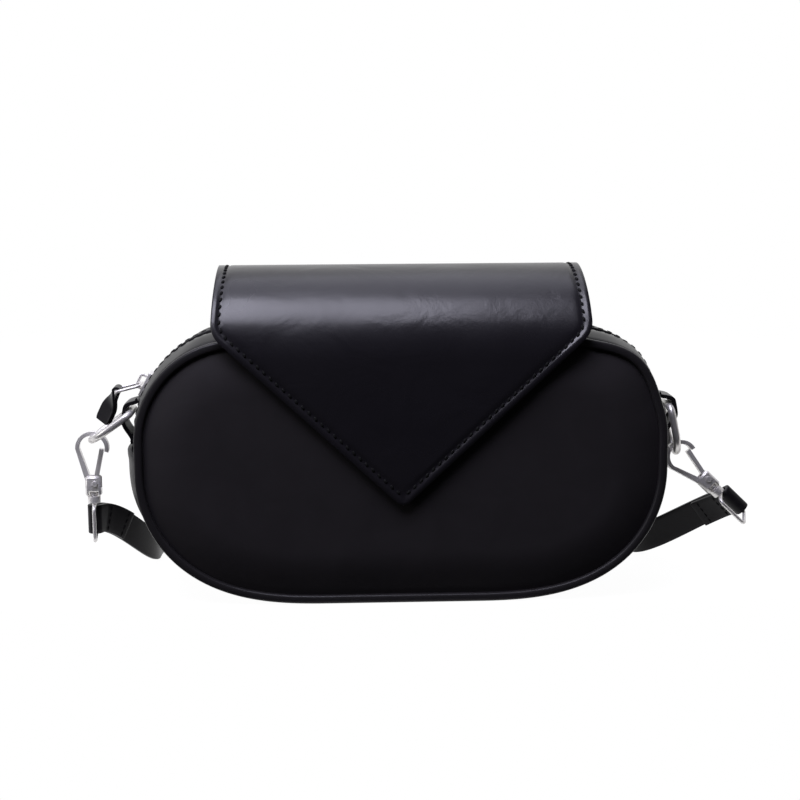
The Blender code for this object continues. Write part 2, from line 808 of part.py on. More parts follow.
def make_flap():
    """A stiff leather flap, lined, sewn to the back and rolled over the top to a point."""
    hinge = Vector((0, (FLAP_OUTER_INSIDE + FLAP_OUTSIDE) / 2, FLAP_SEAM_HEIGHT))
    pivot = add_empty("flap_pivot", Matrix.Translation(hinge))
    outer = flap_sheet(
        "flap_outer", FLAP_OUTER_INSIDE, FLAP_OUTER, 0.0, "leather", pivot, -hinge
    )
    flap_sheet(
        "flap_lining", FLAP_INSIDE, FLAP_LINING, FLAP_LINING_MARGIN, "suede", pivot, -hinge
    )
    at = Matrix.Translation(-hinge)
    bottom = -FLAP_OUTER_INSIDE
    recess = rod_mesh(
        "flap_recess",
        PLATE_RADIUS + GAP,
        (0, bottom + OVERRUN, MAGNET_HEIGHT),
        (0, bottom - PLATE_THICKNESS - GAP, MAGNET_HEIGHT),
    )
    boolean(outer, add_cutter("flap_recess", recess, at, pivot), "DIFFERENCE")
    plate = rod_mesh(
        "flap_magnet",
        PLATE_RADIUS,
        (0, bottom, MAGNET_HEIGHT),
        (0, bottom - PLATE_THICKNESS, MAGNET_HEIGHT),
    )
    add_object("flap_magnet", plate, "magnet", at, pivot)


def make_magnet(board):
    """The body's magnet sits in a hole in the front board."""
    front, back = -HALF_GUSSET, -HALF_GUSSET + BOARD_THICKNESS
    hole = rod_mesh(
        "magnet_hole",
        MAGNET_RADIUS + GAP,
        (0, front - OVERRUN, MAGNET_HEIGHT),
        (0, back + OVERRUN, MAGNET_HEIGHT),
    )
    boolean(board, add_cutter("magnet_hole", hole), "DIFFERENCE")
    disc = rod_mesh(
        "body_magnet", MAGNET_RADIUS, (0, front, MAGNET_HEIGHT), (0, back, MAGNET_HEIGHT)
    )
    add_object("body_magnet", disc, "magnet")


TAB_RISE_SHARES = (0.03, 0.22)
TAB_FALL_SHARES = (0.46, 0.90)

# How each side hangs in use: side, how far its tab is pulled out, ring angle from hanging
# straight down, hook angle, turn of the hook on its swivel, and turn of the eye.
SIDES = {
    "left": {
        "side": -1,
        "bow": 0.0040,
        "ring": math.radians(55),
        "hook": 0.0,
        "spin": 0.0,
        "eye": math.radians(6),
    },
    "right": {
        "side": 1,
        "bow": 0.0050,
        "ring": math.radians(12),
        "hook": math.radians(46),
        "spin": math.radians(12),
        "eye": math.radians(-20),
    },
}


def make_tab(name, pose):
    """A leather strip sewn down at both ends, bowed out between them to hold the ring's bar."""
    side = pose["side"]

    def place(distance, y):
        share = (distance - TAB_START) / TAB_LENGTH
        rise = smooth_step((share - TAB_RISE_SHARES[0]) / (TAB_RISE_SHARES[1] - TAB_RISE_SHARES[0]))
        fall = smooth_step((share - TAB_FALL_SHARES[0]) / (TAB_FALL_SHARES[1] - TAB_FALL_SHARES[0]))
        return wrap(side * distance, y, GAP + pose["bow"] * (rise - fall))

    half = TAB_WIDTH / 2
    rows = [-half, 0.0, half] if side > 0 else [half, 0.0, -half]
    mesh = strip_mesh(name, spread(TAB_START, TAB_START + TAB_LENGTH, 20), rows, place)
    made = add_object(name, mesh, "leather")
    thicken(made, TAB_THICKNESS, 1.0)


def ring_path():
    """Centreline of a D-shaped ring: a straight bar at the top and a round lower end."""
    half = RING_INSIDE_WIDTH / 2 + RING_WIRE
    straight = RING_REACH - half
    bar = [(-half + RING_CORNER, 0.0), (half - RING_CORNER, 0.0)]
    right = arc((half - RING_CORNER, -RING_CORNER), RING_CORNER, math.pi / 2, 0, 3)[1:]
    bowl = arc((0.0, -straight), half, 0, -math.pi, 16)
    left = arc((-half + RING_CORNER, -RING_CORNER), RING_CORNER, math.pi, math.pi / 2, 3)[:-1]
    return [Vector((0, y, z)) for y, z in bar[1:] + right + bowl + left + bar[:1]]


def hook_outline():
    """The hook's strip: up one side from the block, over the loop and down to the tip."""
    top = (0.0, HOOK_LOOP_HEIGHT)
    root = (-BLOCK_WIDTH / 2, BLOCK_TOP - HOOK_STRIP)
    outer = HOOK_LOOP_RADIUS + HOOK_STRIP / 2
    inner = HOOK_LOOP_RADIUS - HOOK_STRIP / 2
    outside = [root]
    outside += arc(top, outer, math.pi, HOOK_TIP_ANGLE, 16)
    inside = arc(top, inner, HOOK_TIP_ANGLE, math.pi, 14)
    inside.append((root[0] + HOOK_ROOT, root[1]))
    return outside + inside


def gate_line():
    """The gate's centreline, from its pin up to just inside the hook's tip."""
    reach = HOOK_LOOP_RADIUS - HOOK_STRIP / 2 - GAP - GATE_WIDTH / 2
    tip_height = HOOK_LOOP_HEIGHT + HOOK_LOOP_RADIUS * math.sin(HOOK_TIP_ANGLE)
    pin = Vector(((BLOCK_WIDTH / 2 - GATE_BOSS) / 2, PIN_HEIGHT))
    top = Vector((reach * math.cos(HOOK_TIP_ANGLE), tip_height + GATE_OVERLAP))
    return pin, top


def make_hook(name, pose, hanger):
    """A snap hook: block and loop in one casting, a gate on a pin, and a collar for the eye."""
    pin, gate_top = gate_line()
    swivel = add_empty(f"hook_{name}_pivot", Matrix.Rotation(pose["spin"], 4, "Z"), hanger)
    hook = add_object(
        f"hook_{name}", plate_mesh(f"hook_{name}", hook_outline(), HOOK_DEPTH), "steel", None, swivel
    )
    block_height = BLOCK_TOP - COLLAR_HEIGHT
    block = box_mesh(
        f"block_{name}",
        (BLOCK_WIDTH, BLOCK_DEPTH, block_height),
        (0, 0, COLLAR_HEIGHT + block_height / 2),
    )
    block_cutter = add_cutter(f"block_{name}", block, None, swivel)
    soften(block_cutter, BLOCK_DEPTH / 6)
    boolean(hook, block_cutter, "UNION")
    collar = rod_mesh(f"collar_{name}", COLLAR_RADIUS, (0, 0, 0), (0, 0, COLLAR_HEIGHT + GAP), 24)
    boolean(hook, add_cutter(f"collar_{name}", collar, None, swivel), "UNION")
    window_height = BLOCK_BASE - COLLAR_HEIGHT
    window = box_mesh(
        f"window_{name}",
        (WINDOW_WIDTH, BLOCK_DEPTH + 2 * OVERRUN, window_height),
        (0, 0, COLLAR_HEIGHT + window_height / 2),
    )
    boolean(hook, add_cutter(f"window_{name}", window, None, swivel), "DIFFERENCE")
    bore = rod_mesh(
        f"bore_{name}", POST_RADIUS + GAP, (0, 0, -OVERRUN), (0, 0, COLLAR_HEIGHT + GAP), 20
    )
    boolean(hook, add_cutter(f"bore_{name}", bore, None, swivel), "DIFFERENCE")
    slot_low = pin.y - GATE_BOSS - GAP
    slot_width = BLOCK_WIDTH / 2 + OVERRUN - (pin.x - GATE_BOSS - GAP)
    slot = box_mesh(
        f"slot_{name}",
        (slot_width, GATE_DEPTH + 2 * GAP, BLOCK_TOP + OVERRUN - slot_low),
        (pin.x - GATE_BOSS - GAP + slot_width / 2, 0, (slot_low + BLOCK_TOP + OVERRUN) / 2),
    )
    boolean(hook, add_cutter(f"slot_{name}", slot, None, swivel), "DIFFERENCE")
    wall = BLOCK_DEPTH / 2
    hole = rod_mesh(
        f"pin_hole_{name}",
        PIN_RADIUS + GAP,
        (pin.x, -wall - OVERRUN, pin.y),
        (pin.x, wall + OVERRUN, pin.y),
        16,
    )
    boolean(hook, add_cutter(f"pin_hole_{name}", hole, None, swivel), "DIFFERENCE")
    make_pin(name, pin, wall, swivel)
    make_gate(name, pin, gate_top, swivel)


def make_pin(name, pin, wall, swivel):
    """A headed pin through the block, turned about its own axis."""
    outer = wall + GAP + PIN_HEAD_THICKNESS
    inner = wall + GAP
    profile = [(0, outer), (PIN_HEAD, outer), (PIN_HEAD, inner), (PIN_RADIUS, inner)]
    profile += [(PIN_RADIUS, -inner), (PIN_HEAD, -inner), (PIN_HEAD, -outer), (0, -outer)]
    bm = bmesh.new()
    knots = [bm.verts.new((x, 0, z)) for x, z in profile]
    for here, there in zip(knots, knots[1:], strict=False):
        bm.edges.new((here, there))
    bmesh.ops.spin(
        bm,
        geom=list(bm.verts) + list(bm.edges),
        cent=(0, 0, 0),
        axis=(0, 0, 1),
        angle=2 * math.pi,
        steps=16,
        use_merge=True,
    )
    bmesh.ops.remove_doubles(bm, verts=bm.verts, dist=GAP / 100)
    bmesh.ops.recalc_face_normals(bm, faces=bm.faces)
    at = Matrix.Translation((pin.x, 0, pin.y)) @ Matrix.Rotation(math.pi / 2, 4, "X")
    add_object(f"gate_pin_{name}", to_mesh(bm, f"gate_pin_{name}"), "steel", at, swivel)


def make_gate(name, pin, top, swivel):
    """A straight gate that closes against the inside of the hook's tip."""
    pivot = add_empty(f"gate_{name}_pivot", Matrix.Translation((pin.x, 0, pin.y)), swivel)
    along = (top - pin).normalized()
    across = Vector((along.y, -along.x)) * GATE_WIDTH / 2
    lead = math.atan2(along.y, along.x)
    spread_angle = math.asin(GATE_WIDTH / 2 / GATE_BOSS)
    boss = arc((0, 0), GATE_BOSS, lead + spread_angle, lead + 2 * math.pi - spread_angle, 16)
    end = top - pin
    outline = [*boss, tuple(end + across), tuple(end - across)]
    gate = add_object(
        f"gate_{name}", plate_mesh(f"gate_{name}", outline, GATE_DEPTH), "steel", None, pivot
    )
    half = GATE_DEPTH / 2 + OVERRUN
    hole = rod_mesh(f"gate_hole_{name}", PIN_RADIUS + GAP, (0, -half, 0), (0, half, 0), 16)
    boolean(gate, add_cutter(f"gate_hole_{name}", hole, None, pivot), "DIFFERENCE")


def eye_top():
    return -GAP - EYE_WIRE


def eye_inside():
    return STRAP_WIDTH + 2 * GAP


def make_eye(name, pose, hanger):
    """A swivel eye: a headed post held in the hook's collar, and a rounded wire loop."""
    turn = Matrix.Rotation(pose["eye"], 4, "Z") @ Matrix.Translation((0, 0, eye_top()))
    length = eye_inside() + 2 * EYE_WIRE
    loop = rounded_loop(length, EYE_WIDTH, EYE_CORNER)
    eye = add_object(
        f"swivel_eye_{name}",
        wire_mesh(f"swivel_eye_{name}", loop, EYE_WIRE, 1, closed=True),
        "steel",
        turn,
        hanger,
    )
    head_low = COLLAR_HEIGHT + GAP
    post = rod_mesh(f"post_{name}", POST_RADIUS, (0, 0, eye_top()), (0, 0, head_low + GAP), 16)
    boolean(eye, add_cutter(f"post_{name}", post, None, hanger), "UNION")
    head = rod_mesh(
        f"post_head_{name}", POST_HEAD_RADIUS, (0, 0, head_low), (0, 0, head_low + POST_HEAD), 16
    )
    boolean(eye, add_cutter(f"post_head_{name}", head, None, hanger), "UNION")


def make_side(name, pose):
    """Tab, ring, snap hook and swivel eye of one side. Returns the limb that holds the strap."""
    make_tab(f"tab_{name}", pose)
    side = pose["side"]
    bar_rise = GAP + pose["bow"] - GAP - RING_WIRE
    bar = wrap(side * RING_BAR, 0.0, bar_rise)
    pivot = add_empty(f"hanger_{name}_pivot", Matrix.Translation(bar))
    ring_turn = Matrix.Rotation(-side * pose["ring"], 4, "Y")
    ring = wire_mesh(f"d_ring_{name}", ring_path(), RING_WIRE, 2, closed=True)
    add_object(f"d_ring_{name}", ring, "steel", ring_turn, pivot)
    ring_end = ring_turn @ Vector((0, 0, -RING_REACH))
    seat = HOOK_LOOP_HEIGHT + HOOK_LOOP_RADIUS - HOOK_STRIP / 2 - GAP - RING_WIRE
    hook_turn = Matrix.Rotation(-side * pose["hook"], 4, "Y")
    origin = ring_end - hook_turn @ Vector((0, 0, seat))
    frame = add_empty(
        f"swivel_{name}_frame", Matrix.Translation(origin) @ hook_turn, pivot
    )
    make_hook(name, pose, frame)
    make_eye(name, pose, frame)
    bpy.context.view_layer.update()
    world = frame.matrix_world
    middle = eye_top() - EYE_WIRE - eye_inside() / 2
    limb = Matrix.Rotation(pose["eye"], 4, "Z") @ Vector((0, EYE_WIDTH / 2, 0))
    limb = world @ (limb + Vector((0, 0, middle)))
    up = (world.to_3x3() @ Vector((0, 0, 1))).normalized()
    return limb, up


STRAP_TURN_SHARES = (0.10, 0.75)
STRAP_LEAD_SHARES = (0.90, 0.45)


def strap_lead(up, side):
    """The direction in which the strap leaves an eye: square to its limb, back and inwards."""
    inward = Vector((0, 1, 0)).cross(up) * -side
    return (STRAP_LEAD_SHARES[0] * Vector((0, 1, 0)) + STRAP_LEAD_SHARES[1] * inward).normalized()


def strap_run(limb, up, side, cells=14):
    """The free run from an eye down to the surface behind the bag, as (point, up) pairs."""
    end = Vector((side * STRAP_LOOP_WIDTH / 2, STRAP_LOOP_START, STRAP_WIDTH / 2 + GAP))
    reach = (end - limb).length
    start_pull = strap_lead(up, side) * reach
    end_pull = Vector((0, 1, 0)) * reach
    run = []
    for step in range(cells + 1):
        t = step / cells
        point = (
            limb * (2 * t**3 - 3 * t**2 + 1)
            + start_pull * (t**3 - 2 * t**2 + t)
            + end * (3 * t**2 - 2 * t**3)
            + end_pull * (t**3 - t**2)
        )
        low, high = STRAP_TURN_SHARES
        turn = smooth_step((t - low) / (high - low))
        run.append((point, up.lerp(Vector((0, 0, 1)), turn).normalized()))
    return run


def strap_centreline(ends):
    """The whole strap, from the left eye round behind the bag to the right eye."""
    left = strap_run(*ends["left"], -1)
    right = strap_run(*ends["right"], 1)
    loop = []
    cells = 40
    for step in range(1, cells):
        angle = math.pi * (1 - step / cells)
        x = STRAP_LOOP_WIDTH / 2 * math.cos(angle)
        y = STRAP_LOOP_START + STRAP_LOOP_DEPTH * math.sin(angle)
        loop.append((Vector((x, y, STRAP_WIDTH / 2 + GAP)), Vector((0, 0, 1))))
    return left + loop + right[::-1]


def strap_frames(line, leads):
    """For each point: the point, the direction across the strap, along it and through it."""
    frames = []
    for index, (point, up) in enumerate(line):
        before = line[max(index - 1, 0)][0]
        after = line[min(index + 1, len(line) - 1)][0]
        tangent = (after - before).normalized()
        if index == 0:
            tangent = leads[0]
        if index == len(line) - 1:
            tangent = -leads[1]
        across = (up - tangent * up.dot(tangent)).normalized()
        frames.append((point, across, tangent, across.cross(tangent)))
    return frames


def fold_end(frames):
    """The end of the strap: back along the main layer, then round the eye's limb."""
    point, across, tangent, normal = frames[0]
    seat = EYE_WIRE + 2 * GAP + STRAP_THICKNESS / 2
    close = GAP / 2 + STRAP_THICKNESS / 2
    back = []
    travelled = 0.0
    previous = frames[0][0]
    for here, up, along, out in frames[1:]:
        travelled += (here - previous).length
        previous = here
        if travelled > STRAP_RETURN:
            break
        if travelled > 2 * STRAP_THICKNESS:
            back.append((here - out * close, up))
    back.reverse()
    wrapped = []
    for step in range(9):
        angle = -math.pi / 2 - math.pi * step / 8
        offset = tangent * math.cos(angle) + normal * math.sin(angle)
        wrapped.append((point + offset * seat, across))
    main = []
    travelled = 0.0
    previous = frames[0][0]
    for here, up, along, out in frames[1:]:
        travelled += (here - previous).length
        previous = here
        if travelled > 2 * STRAP_THICKNESS:
            main.append((here + out * close, up))
    return back + wrapped, main


def make_strap(ends):
    """One long strap whose two ends are folded round the eyes and sewn back on themselves."""
    line = strap_centreline(ends)
    leads = (strap_lead(ends["left"][1], -1), strap_lead(ends["right"][1], 1))
    frames = strap_frames(line, leads)
    half = len(frames) // 2
    left_fold, left_main = fold_end(frames[: half + 1])
    mirrored = [
        (point, across, -tangent, -normal) for point, across, tangent, normal in frames[half:][::-1]
    ]
    right_fold, right_main = fold_end([(p, a, t, -n) for p, a, t, n in mirrored])
    path = left_fold + left_main
    path += right_main[::-1][1:] + right_fold[::-1]
    reach = STRAP_WIDTH / 2
    mesh = strip_mesh(
        "strap",
        path,
        [-reach, reach],
        lambda place, across: place[0] + place[1] * across,
    )
    made = add_object("strap", mesh, "leather")
    thicken(made, STRAP_THICKNESS, 0.0)


make_gusset()
make_piping()
make_panel("panel_front", -1)
make_panel("panel_back", 1)
front_board = make_board("board_front", -1)
make_board("board_back", 1)
make_magnet(front_board)
make_lining()
make_zip()
slider_pivot, bail_place = make_slider()
bpy.context.view_layer.update()
make_pull(slider_pivot, bail_place)
make_flap()
strap_ends = {name: make_side(name, pose) for name, pose in SIDES.items()}
make_strap(strap_ends)
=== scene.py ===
"""A small oval shoulder bag in smooth black leather, standing on a white studio floor.

Everything is in metres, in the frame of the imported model: Z is up and the front faces -Y.
"""

import bisect
import json
import math

import bmesh
import bpy
from mathutils import Matrix, Vector, noise


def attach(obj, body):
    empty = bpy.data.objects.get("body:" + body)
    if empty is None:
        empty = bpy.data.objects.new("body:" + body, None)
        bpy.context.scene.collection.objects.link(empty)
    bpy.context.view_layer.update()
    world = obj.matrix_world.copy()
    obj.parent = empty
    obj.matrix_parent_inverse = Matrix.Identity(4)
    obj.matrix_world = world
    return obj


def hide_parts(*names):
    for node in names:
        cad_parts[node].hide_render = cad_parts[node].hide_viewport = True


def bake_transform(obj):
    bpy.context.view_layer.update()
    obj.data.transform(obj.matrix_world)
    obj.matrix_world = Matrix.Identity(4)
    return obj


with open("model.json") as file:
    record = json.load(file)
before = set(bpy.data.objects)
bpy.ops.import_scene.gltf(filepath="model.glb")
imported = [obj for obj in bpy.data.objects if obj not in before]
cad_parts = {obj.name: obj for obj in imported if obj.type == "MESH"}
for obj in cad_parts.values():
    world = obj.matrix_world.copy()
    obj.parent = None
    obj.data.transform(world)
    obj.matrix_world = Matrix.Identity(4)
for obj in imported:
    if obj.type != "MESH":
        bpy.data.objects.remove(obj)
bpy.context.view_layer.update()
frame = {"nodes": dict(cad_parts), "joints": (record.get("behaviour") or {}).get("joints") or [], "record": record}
nodes = frame["nodes"]
joints = {joint["name"]: joint for joint in frame["joints"]}
bpy.ops.object.select_all(action="DESELECT")


# Camera
# A long lens about 60 cm away, nine degrees above the bag and a little to its left.
VIEW_TARGET = Vector((-0.0011, -0.033, 0.0826))
VIEW_DISTANCE = 0.60
VIEW_ELEVATION = math.radians(9.3)
VIEW_TURN = math.radians(-2.3)
VIEW_ROLL = math.radians(-0.3)
PHOTO_PIXELS = 800
FOCAL_PIXELS = 1551
NEAREST_SEEN = 0.01

view_back = Vector(
    (
        math.sin(VIEW_TURN) * math.cos(VIEW_ELEVATION),
        -math.cos(VIEW_TURN) * math.cos(VIEW_ELEVATION),
        math.sin(VIEW_ELEVATION),
    )
)
bpy.ops.object.camera_add(location=VIEW_TARGET + view_back * VIEW_DISTANCE)
camera = bpy.context.object
facing = view_back.to_track_quat("Z", "Y").to_matrix() @ Matrix.Rotation(VIEW_ROLL, 3, "Z")
camera.rotation_euler = facing.to_euler()
camera.data.lens = FOCAL_PIXELS / PHOTO_PIXELS * camera.data.sensor_width
camera.data.clip_start = NEAREST_SEEN
bpy.context.scene.camera = camera
bpy.context.scene.view_settings.view_transform = "Standard"


# Studio
# A white floor and a white backdrop, which cameras and shiny surfaces see as pure white. The
# room is dark beside and in front of the bag. Two large soft boxes hang above it, and a faint
# card stands at each side.
FLOOR_BACK = 0.9
FLOOR_FRONT = -0.03
FLOOR_HALF = 0.9
FLOOR_DROP = 0.0002
ROOM_LIGHT = 0.90
ROOM_DARK = 0.02
BACKDROP_STARTS = 0.15
BACKDROP_FULL = 0.75
FLOOR_TINTS = (0.84, 0.86)
FLOOR_GLOW = 1.05
FLOOR_GLOW_SHARE = 0.93
BAG_MIDDLE = (0, 0, 0.09)
BAG_LOW = (0, 0, 0.06)


def feed(tree, socket, value):
    """Links another socket into an input, or sets the input's own value."""
    if isinstance(value, bpy.types.NodeSocket):
        tree.links.new(value, socket)
    else:
        socket.default_value = value


def node_of(tree, kind, **inputs):
    """Adds a shader node and sets or links its inputs by name."""
    made = tree.nodes.new(kind)
    for name, value in inputs.items():
        feed(tree, made.inputs[name.replace("_", " ")], value)
    return made


def math_node(tree, operation, *values):
    """Adds a math node over sockets or numbers, and returns its output."""
    made = tree.nodes.new("ShaderNodeMath")
    made.operation = operation
    for socket, value in zip(made.inputs, values, strict=False):
        feed(tree, socket, value)
    return made.outputs[0]


def rays(tree):
    """Whether the camera looks at a point, and whether a shiny or clear surface does."""
    path = tree.nodes.new("ShaderNodeLightPath").outputs
    shiny = math_node(tree, "MAXIMUM", path["Is Glossy Ray"], path["Is Transmission Ray"])
    return path["Is Camera Ray"], shiny


bpy.ops.mesh.primitive_plane_add(size=1.0)
floor = bpy.context.object
floor.name = "floor"
for vert in floor.data.vertices:
    deep = FLOOR_BACK if vert.co.y > 0 else FLOOR_FRONT
    vert.co = (2 * FLOOR_HALF * vert.co.x, deep, -FLOOR_DROP)
floor_paint = bpy.data.materials.new("white_floor")
floor_paint.use_nodes = True
tree = floor_paint.node_tree
tree.nodes.clear()
speckle = node_of(tree, "ShaderNodeTexNoise", Scale=60.0, Detail=2.0)
tint = node_of(
    tree, "ShaderNodeMapRange", Value=speckle.outputs["Fac"],
    To_Min=FLOOR_TINTS[0], To_Max=FLOOR_TINTS[1],
)
matte = node_of(tree, "ShaderNodeBsdfDiffuse", Color=tint.outputs["Result"])
glow = node_of(tree, "ShaderNodeEmission", Color=(1.0, 1.0, 1.0, 1.0), Strength=FLOOR_GLOW)
camera_ray, shiny = rays(tree)
seen = math_node(tree, "MAXIMUM", camera_ray, shiny)
mixed = tree.nodes.new("ShaderNodeMixShader")
tree.links.new(math_node(tree, "MULTIPLY", seen, FLOOR_GLOW_SHARE), mixed.inputs[0])
tree.links.new(matte.outputs[0], mixed.inputs[1])
tree.links.new(glow.outputs[0], mixed.inputs[2])
floor_out = tree.nodes.new("ShaderNodeOutputMaterial")
tree.links.new(mixed.outputs[0], floor_out.inputs["Surface"])
floor.data.materials.append(floor_paint)

world = bpy.data.worlds.new("studio")
bpy.context.scene.world = world
world.use_nodes = True
tree = world.node_tree
tree.nodes.clear()
direction = tree.nodes.new("ShaderNodeTexCoord")
parts = node_of(tree, "ShaderNodeSeparateXYZ", Vector=direction.outputs["Generated"])
backdrop = node_of(
    tree, "ShaderNodeMapRange", Value=parts.outputs["Y"],
    From_Min=BACKDROP_STARTS, From_Max=BACKDROP_FULL,
)
room = node_of(
    tree, "ShaderNodeMapRange", Value=backdrop.outputs["Result"],
    To_Min=ROOM_DARK, To_Max=ROOM_LIGHT,
)
camera_ray, shiny = rays(tree)
shown = math_node(tree, "MULTIPLY", shiny, backdrop.outputs["Result"])
seen = math_node(tree, "MAXIMUM", camera_ray, shown)
brightest = math_node(tree, "MAXIMUM", room.outputs["Result"], seen)
sky = node_of(tree, "ShaderNodeBackground", Color=brightest)
world_out = tree.nodes.new("ShaderNodeOutputWorld")
tree.links.new(sky.outputs[0], world_out.inputs["Surface"])


def soft_lamp(name, place, aim, size, watts, colour, turn=0):
    """A rectangular soft box that points at a place, turned about its own axis."""
    bpy.ops.object.light_add(type="AREA", location=place)
    lamp = bpy.context.object
    lamp.name = name
    aimed = (Vector(place) - Vector(aim)).to_track_quat("Z", "Y").to_matrix()
    lamp.rotation_euler = (aimed @ Matrix.Rotation(math.radians(turn), 3, "Z")).to_euler()
    lamp.data.shape = "RECTANGLE"
    lamp.data.size, lamp.data.size_y = size
    lamp.data.energy = watts
    lamp.data.color = colour


soft_lamp(
    "key_box", (-0.20, -0.34, 0.72), BAG_MIDDLE,
    size=(0.62, 0.40), watts=6.2, colour=(0.85, 0.84, 1.0), turn=21,
)
soft_lamp(
    "top_box", (-0.06, 0.10, 0.80), BAG_MIDDLE,
    size=(0.70, 0.52), watts=1.9, colour=(0.86, 0.86, 1.0),
)
soft_lamp(
    "left_card", (-0.85, -0.30, 0.35), BAG_LOW,
    size=(0.45, 0.60), watts=2.2, colour=(1.0, 0.99, 0.97),
)
soft_lamp(
    "right_card", (0.80, -0.05, 0.30), BAG_LOW,
    size=(0.40, 0.50), watts=0.4, colour=(1.0, 0.98, 0.96),
)


# Front and back panels
# Each is a moulded leather face over foam. It is sunk at the edge, where it is sewn to the
# piping, and swells slowly to a nearly flat middle. The bag's right shoulder is a little fuller.
BODY_WIDTH = 0.210
BODY_HEIGHT = 0.106
BASE_FLAT = 0.056
SHOULDER_RADIUS = 0.041
SIDE_STRAIGHT = 0.012
HALF_GUSSET = 0.025
GAP = 0.0003
PIPING_RADIUS = 0.00175
PANEL_BACK = HALF_GUSSET + GAP
PANEL_INSET_RADII = 1.6
PANEL_INSET = PANEL_INSET_RADII * PIPING_RADIUS
PANEL_EDGE = 0.0013
PANEL_PUFF = 0.0047
PANEL_SLOPE = 0.0200
PANEL_SLOPE_RUN = 1.3
PANEL_RIM_SHARE = 0.36
PANEL_CELLS = 72
PANEL_DENT = 0.0006
DENTS_ACROSS = 28
DENTS_UP = 34
DENT_LAYER = 3.1
DENT_SIDE_SHIFT = 7
RIGHT_SWELL = 0.0026
RIGHT_SWELL_AT = 0.094
RIGHT_SWELL_REACH = 0.021
SHOULDER_STEPS = 60
LOWER_STEPS = 120
LOWER_POWER = 2.8
SLOPE_STEP = 0.0008
FOLD_DEPTH = 0.002
FOLD_PALER = 1.35
SHINE_SPREAD = (-0.05, 0.07)
# The panels' leather is painted much paler than the flap's same black leather: a painted sheen that stands in for
# the soft reflection of light from in front of the bag.
PANEL_BLACK_WITH_PAINTED_SHEEN = (0.0195, 0.0178, 0.0198, 1.0)
SHOULDER = Vector((BODY_WIDTH / 2 - SHOULDER_RADIUS, BODY_HEIGHT - SHOULDER_RADIUS))


def even(start, end, cells):
    """Evenly spaced values from start to end, both included."""
    return [start + (end - start) * step / cells for step in range(cells + 1)]


def arc(centre, radius, start, end, steps):
    """Points round a circle, from one angle to another."""
    return [
        Vector((centre[0] + radius * math.cos(angle), centre[1] + radius * math.sin(angle)))
        for angle in even(start, end, steps)
    ]


def right_half():
    """Half the oval: flat top, round shoulder, straight side, and a fuller lower curve."""
    points = [Vector((0.0, BODY_HEIGHT))]
    points += arc(SHOULDER, SHOULDER_RADIUS, math.pi / 2, 0.0, SHOULDER_STEPS)
    widest = SHOULDER.y - SIDE_STRAIGHT
    flat = BASE_FLAT / 2
    for turn in even(0.0, math.pi / 2, LOWER_STEPS):
        across = max(math.cos(turn), 0.0) ** (2 / LOWER_POWER)
        x = flat + (BODY_WIDTH / 2 - flat) * across
        points.append(Vector((x, widest * (1 - math.sin(turn)))))
    points.append(Vector((0.0, 0.0)))
    return points


def lengths_along(line):
    """The distance travelled from a line's start to each of its points."""
    travel = [0.0]
    for here, there in zip(line, line[1:], strict=False):
        travel.append(travel[-1] + (there - here).length)
    return travel


def point_along(line, travel, distance):
    """The point at a distance along a line, and the number of the line's point after it."""
    index = min(max(bisect.bisect_right(travel, distance), 1), len(travel) - 1)
    span = travel[index] - travel[index - 1]
    share = (distance - travel[index - 1]) / span if span else 0.0
    return line[index - 1].lerp(line[index], share), index


half_line = right_half()
half_travel = lengths_along(half_line)
HALF_ROUND = half_travel[-1]


def on_half(distance):
    """The point of the oval's right half at a distance from its top's middle."""
    return point_along(half_line, half_travel, min(max(distance, 0.0), HALF_ROUND))[0]


def ease(value):
    """Clamps a value to 0 to 1, with a soft start and a soft end."""
    share = min(max(value, 0.0), 1.0)
    return share * share * (3 - 2 * share)


def from_middle(distance):
    """The same place on the oval, as a signed distance from the top's middle."""
    return (distance + HALF_ROUND) % (2 * HALF_ROUND) - HALF_ROUND


def station(distance):
    """Point and outward normal of the oval, by the distance to the right of its top's middle."""
    distance = from_middle(distance)
    side = -1 if distance < 0 else 1
    tangent = on_half(abs(distance) + SLOPE_STEP) - on_half(abs(distance) - SLOPE_STEP)
    normal = Vector((-tangent.y, tangent.x)).normalized()
    fuller = RIGHT_SWELL * ease(1 - abs(distance - RIGHT_SWELL_AT) / RIGHT_SWELL_REACH)
    point = on_half(abs(distance)) + normal * fuller
    return Vector((side * point.x, point.y)), Vector((side * normal.x, normal.y))


def use_modifier(piece, kind, **settings):
    """Adds a modifier and applies it."""
    made = piece.modifiers.new(kind.lower(), kind)
    for name, value in settings.items():
        setattr(made, name, value)
    bpy.context.view_layer.objects.active = piece
    bpy.ops.object.modifier_apply(modifier=made.name)


def tidy_mesh(piece, merge=0.0):
    """Merges doubles and turns every face outwards."""
    bpy.ops.object.select_all(action="DESELECT")
    piece.select_set(True)
    bpy.context.view_layer.objects.active = piece
    bpy.ops.object.mode_set(mode="EDIT")
    bpy.ops.mesh.select_all(action="SELECT")
    if merge:
        bpy.ops.mesh.remove_doubles(threshold=merge)
    bpy.ops.mesh.normals_make_consistent(inside=False)
    bpy.ops.object.mode_set(mode="OBJECT")


def smooth(piece, degrees=40.0):
    """Shades a piece smooth, but for the edges sharper than an angle."""
    bpy.ops.object.select_all(action="DESELECT")
    piece.select_set(True)
    bpy.context.view_layer.objects.active = piece
    bpy.ops.object.shade_smooth_by_angle(angle=math.radians(degrees))
    piece.select_set(False)


def paint(piece, material):
    """Gives a piece one material all over."""
    piece.data.materials.clear()
    piece.data.materials.append(material)


def dress(piece, material, body, slot, *replaced):
    """Gives a finished piece its material and body, and hides the solids it stands for. The slot is not used."""
    paint(piece, material)
    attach(piece, body)
    if replaced:
        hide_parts(*replaced)


